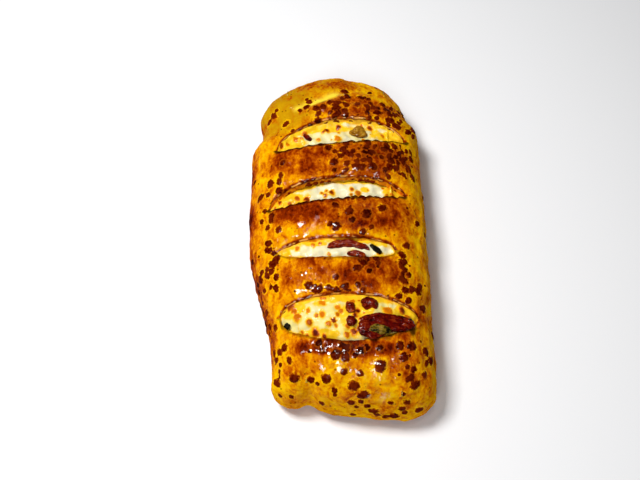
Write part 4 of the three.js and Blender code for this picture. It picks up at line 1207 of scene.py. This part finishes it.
# each piece: x, y and height above the cheese; half length, width and thickness; turn and tip in
# degrees; how square it is; how much it bends; how much it narrows to the right; how creased it is;
# and its finish
toppings = {
    "green_pepper": ((28, -93.6, 5.4), (7.4, 2.9, 1.5), -2, 4, 2.6, -0.012, 0, 0.6, "greenPepper"),
    "roasted_pepper": ((33, -88, 0.6), (19.5, 6.8, 2.4), 8, -6, 2.6, -0.007, 0.45, 0.9, "roastedPepper"),
    "sausage_ball": ((21.3, -74.2, 0.2), (5.8, 4.8, 4), 0, 0, 2.2, 0, 0, 0.4, "friedMeat"),
    "sausage_crumb": ((8, -77.2, 0.5), (2.7, 3.6, 2), 10, 10, 2.4, 0, 0, 0.8, "friedMeat"),
    "pepper_crumb": ((8.6, -87, 0.4), (3.2, 2.8, 2), -30, 0, 2.6, 0, 0, 0.9, "roastedPepper"),
    "herb_left": ((-36, -86.3, 0.6), (2.6, 1.6, 1.4), -50, 0, 2.4, 0, 0, 0.6, "charredLeaf"),
    "herb_right": ((50.4, -84.8, 2), (2.4, 1.7, 1.5), -60, 0, 2.4, 0, 0, 0.6, "charredLeaf"),
    "ham_strip_far": ((7.5, -25.8, 0.6), (15, 2.6, 1.8), -3, 10, 2.6, -0.016, 0.1, 0.8, "friedMeat"),
    "ham_strip_near": ((13.5, -34, 0.3), (6.8, 2, 1.7), -10, 0, 2.4, -0.02, 0, 0.8, "friedMeat"),
    "dark_pepper": ((27.3, -29.8, 0.5), (4.8, 1.8, 1.5), -38, 0, 2.8, 0, -0.3, 0.6, "charredLeaf"),
    "pepper_slice": ((17.4, 75.6, 0.3), (4.6, 5.2, 1.6), 82, 0, 2.4, 0, 0.5, 0.7, "oliveSlice"),
    "red_pepper_bit": ((-22.7, 70, 0.5), (4.4, 1.7, 1.4), -48, 0, 2.4, 0, 0, 0.6, "roastedPepper"),
}
toppingSet = {
    "around": 64, "along": 60, "slopeReach": 2,
    "wobbles": ((0.13, 3, 2.3), (0.1, 2, 5)),  # share of the size, and turns around and along
    "wrinkles": ((1.1, 4.2, 0), (0.35, 1.6, 3)),  # height, size and seed
    "drawnOut": (0.45, 1.0, 1.0), "fullWidth": 5,  # narrower pieces than this wrinkle less
}


def slitUnder(x, y):
    return min(slits, key=lambda slit: float(slitDistance(slit, x, y)[0]))


def makeTopping(name, row, finish):
    # a rounded, bent piece whose skin wrinkles along its length
    at, (length, width, thick), turn, tip, box, bend, taper, crease = row
    a = np.linspace(0, math.pi, toppingSet["along"])[1:-1, None]
    b = np.linspace(0, 2 * math.pi, toppingSet["around"], endpoint=False)[None, :]
    power = 2 / box
    turn, tip = math.radians(turn), math.radians(tip)
    reach = np.sin(a) ** power
    (coarse, lobes, twist), (fine, smallLobes, bands) = toppingSet["wobbles"]
    wobble = 1 + coarse * np.sin(lobes * b + len(name) + twist * a)
    wobble = wobble + fine * np.cos(bands * a + len(name) - smallLobes * b)
    lx = -length * signedPower(np.cos(a), power) + 0 * b
    narrow = 1 - taper * lx / length
    ly = width * narrow * reach * signedPower(np.cos(b), power) * wobble + bend * lx * lx
    lz = thick * reach * signedPower(np.sin(b), power) * wobble
    ly, lz = ly * math.cos(tip) - lz * math.sin(tip), ly * math.sin(tip) + lz * math.cos(tip)
    px, py = lx * math.cos(turn) - ly * math.sin(turn), lx * math.sin(turn) + ly * math.cos(turn)
    x, y, above = (float(value) for value in at)
    ground = cheeseHeight(slitUnder(x, y), x, y) + above
    aside = toppingSet["slopeReach"]
    slope = (domeHeight(x + aside, y) - domeHeight(x - aside, y)) / (2 * aside)
    x, y, z = x + px, y + py, ground + lz + slope * px
    ends = np.array([[x[end].mean(), y[end].mean(), z[end].mean()] for end in (0, -1)])
    mesh = gridMesh(name, x, y, z, ends)
    setAttribute(mesh, "relief", np.ones(len(mesh.vertices)))
    item = addObject(name + "_piece", mesh)
    fit = min(1.0, width / toppingSet["fullWidth"])
    for height, size, seed in toppingSet["wrinkles"]:
        runTree(item, "uneven", {"Height": height * fit * mm, "Stretch": toppingSet["drawnOut"],
                                 "Scale": perSize(size), "Crease": crease,
                                 "Seed": float(len(name) + seed), "Material": finish})
    moveMesh(item.data, shift)
    return item


finishes = {name: wetPiece(name, look) for name, look in wetLooks.items()}
pieces = {"crust": (crust, "crust"), "filling": (cheese, "cheese")}
for name, (*row, finish) in toppings.items():
    pieces[name] = (makeTopping(name, row, finishes[finish]), wetLooks[finish]["slot"])
print("stage: toppings", len(toppings))

body = list(frame["bodies"])[0]
for node, (piece, slotName) in pieces.items():
    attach(piece, body)
    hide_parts(node)


# floor, light and camera

studio = {
    "floor": "FDFDFE", "floorReach": 3, "sky": "F6FAFF", "skyStrength": 0.03,
    # square soft lights: where each stands, its width in metres and its power
    "lights": {"key": ((-0.41, 0.1, 0.955), 0.3, 9.9), "top": ((0.0, -0.12, 1.04), 0.18, 0.75),
               "front": ((-0.12, -0.65, 0.78), 0.28, 2.3)},
    "aim": (0, -0.02, 0.03),
    # the camera looks along the loaf from its near end; millimetres and degrees
    "target": (-13.9, -9.7, 28.95), "elevation": 62, "distance": 627.3, "sensor": 36.0, "lens": 46.3,
}


def makeFloor():
    reach = studio["floorReach"]
    mesh = bpy.data.meshes.new("floor")
    corners = [(-reach, -reach, 0), (reach, -reach, 0), (reach, reach, 0), (-reach, reach, 0)]
    mesh.from_pydata(corners, [], [(0, 1, 2, 3)])
    floor = addObject("floor", mesh)
    material, tree, shader, place = newMaterial("paleMattePaint")
    setInputs(tree, shader, {"Base Color": studio["floor"], "Roughness": 0.9, "Specular IOR Level": 0.0})
    mesh.materials.append(material)


def addLight(name, spot, size, power):
    data = bpy.data.lights.new(name, "AREA")
    data.size, data.energy = size, power
    light = addObject(name, data)
    light.location = spot
    light.rotation_euler = (Vector(studio["aim"]) - Vector(spot)).to_track_quat("-Z", "Y").to_euler()


def makeSky():
    world = bpy.data.worlds.new("world")
    bpy.context.scene.world = world
    world.use_nodes = True
    setInputs(world.node_tree, world.node_tree.nodes["Background"],
              {"Color": studio["sky"], "Strength": studio["skyStrength"]})


def makeCamera():
    elevation = math.radians(studio["elevation"])
    data = bpy.data.cameras.new("camera")
    data.sensor_width, data.lens, data.clip_start = studio["sensor"], studio["lens"], 0.01
    camera = addObject("camera", data)
    back = Vector((0, -math.cos(elevation), math.sin(elevation)))
    camera.location = (Vector(studio["target"]) + back * studio["distance"]) * mm
    camera.rotation_euler = (-back).to_track_quat("-Z", "Y").to_euler()
    bpy.context.scene.camera = camera


makeFloor()
for name, light in studio["lights"].items():
    addLight(name, *light)
makeSky()
makeCamera()
bpy.context.scene.view_settings.view_transform = "Standard"
print("stage: floor, lights and camera")
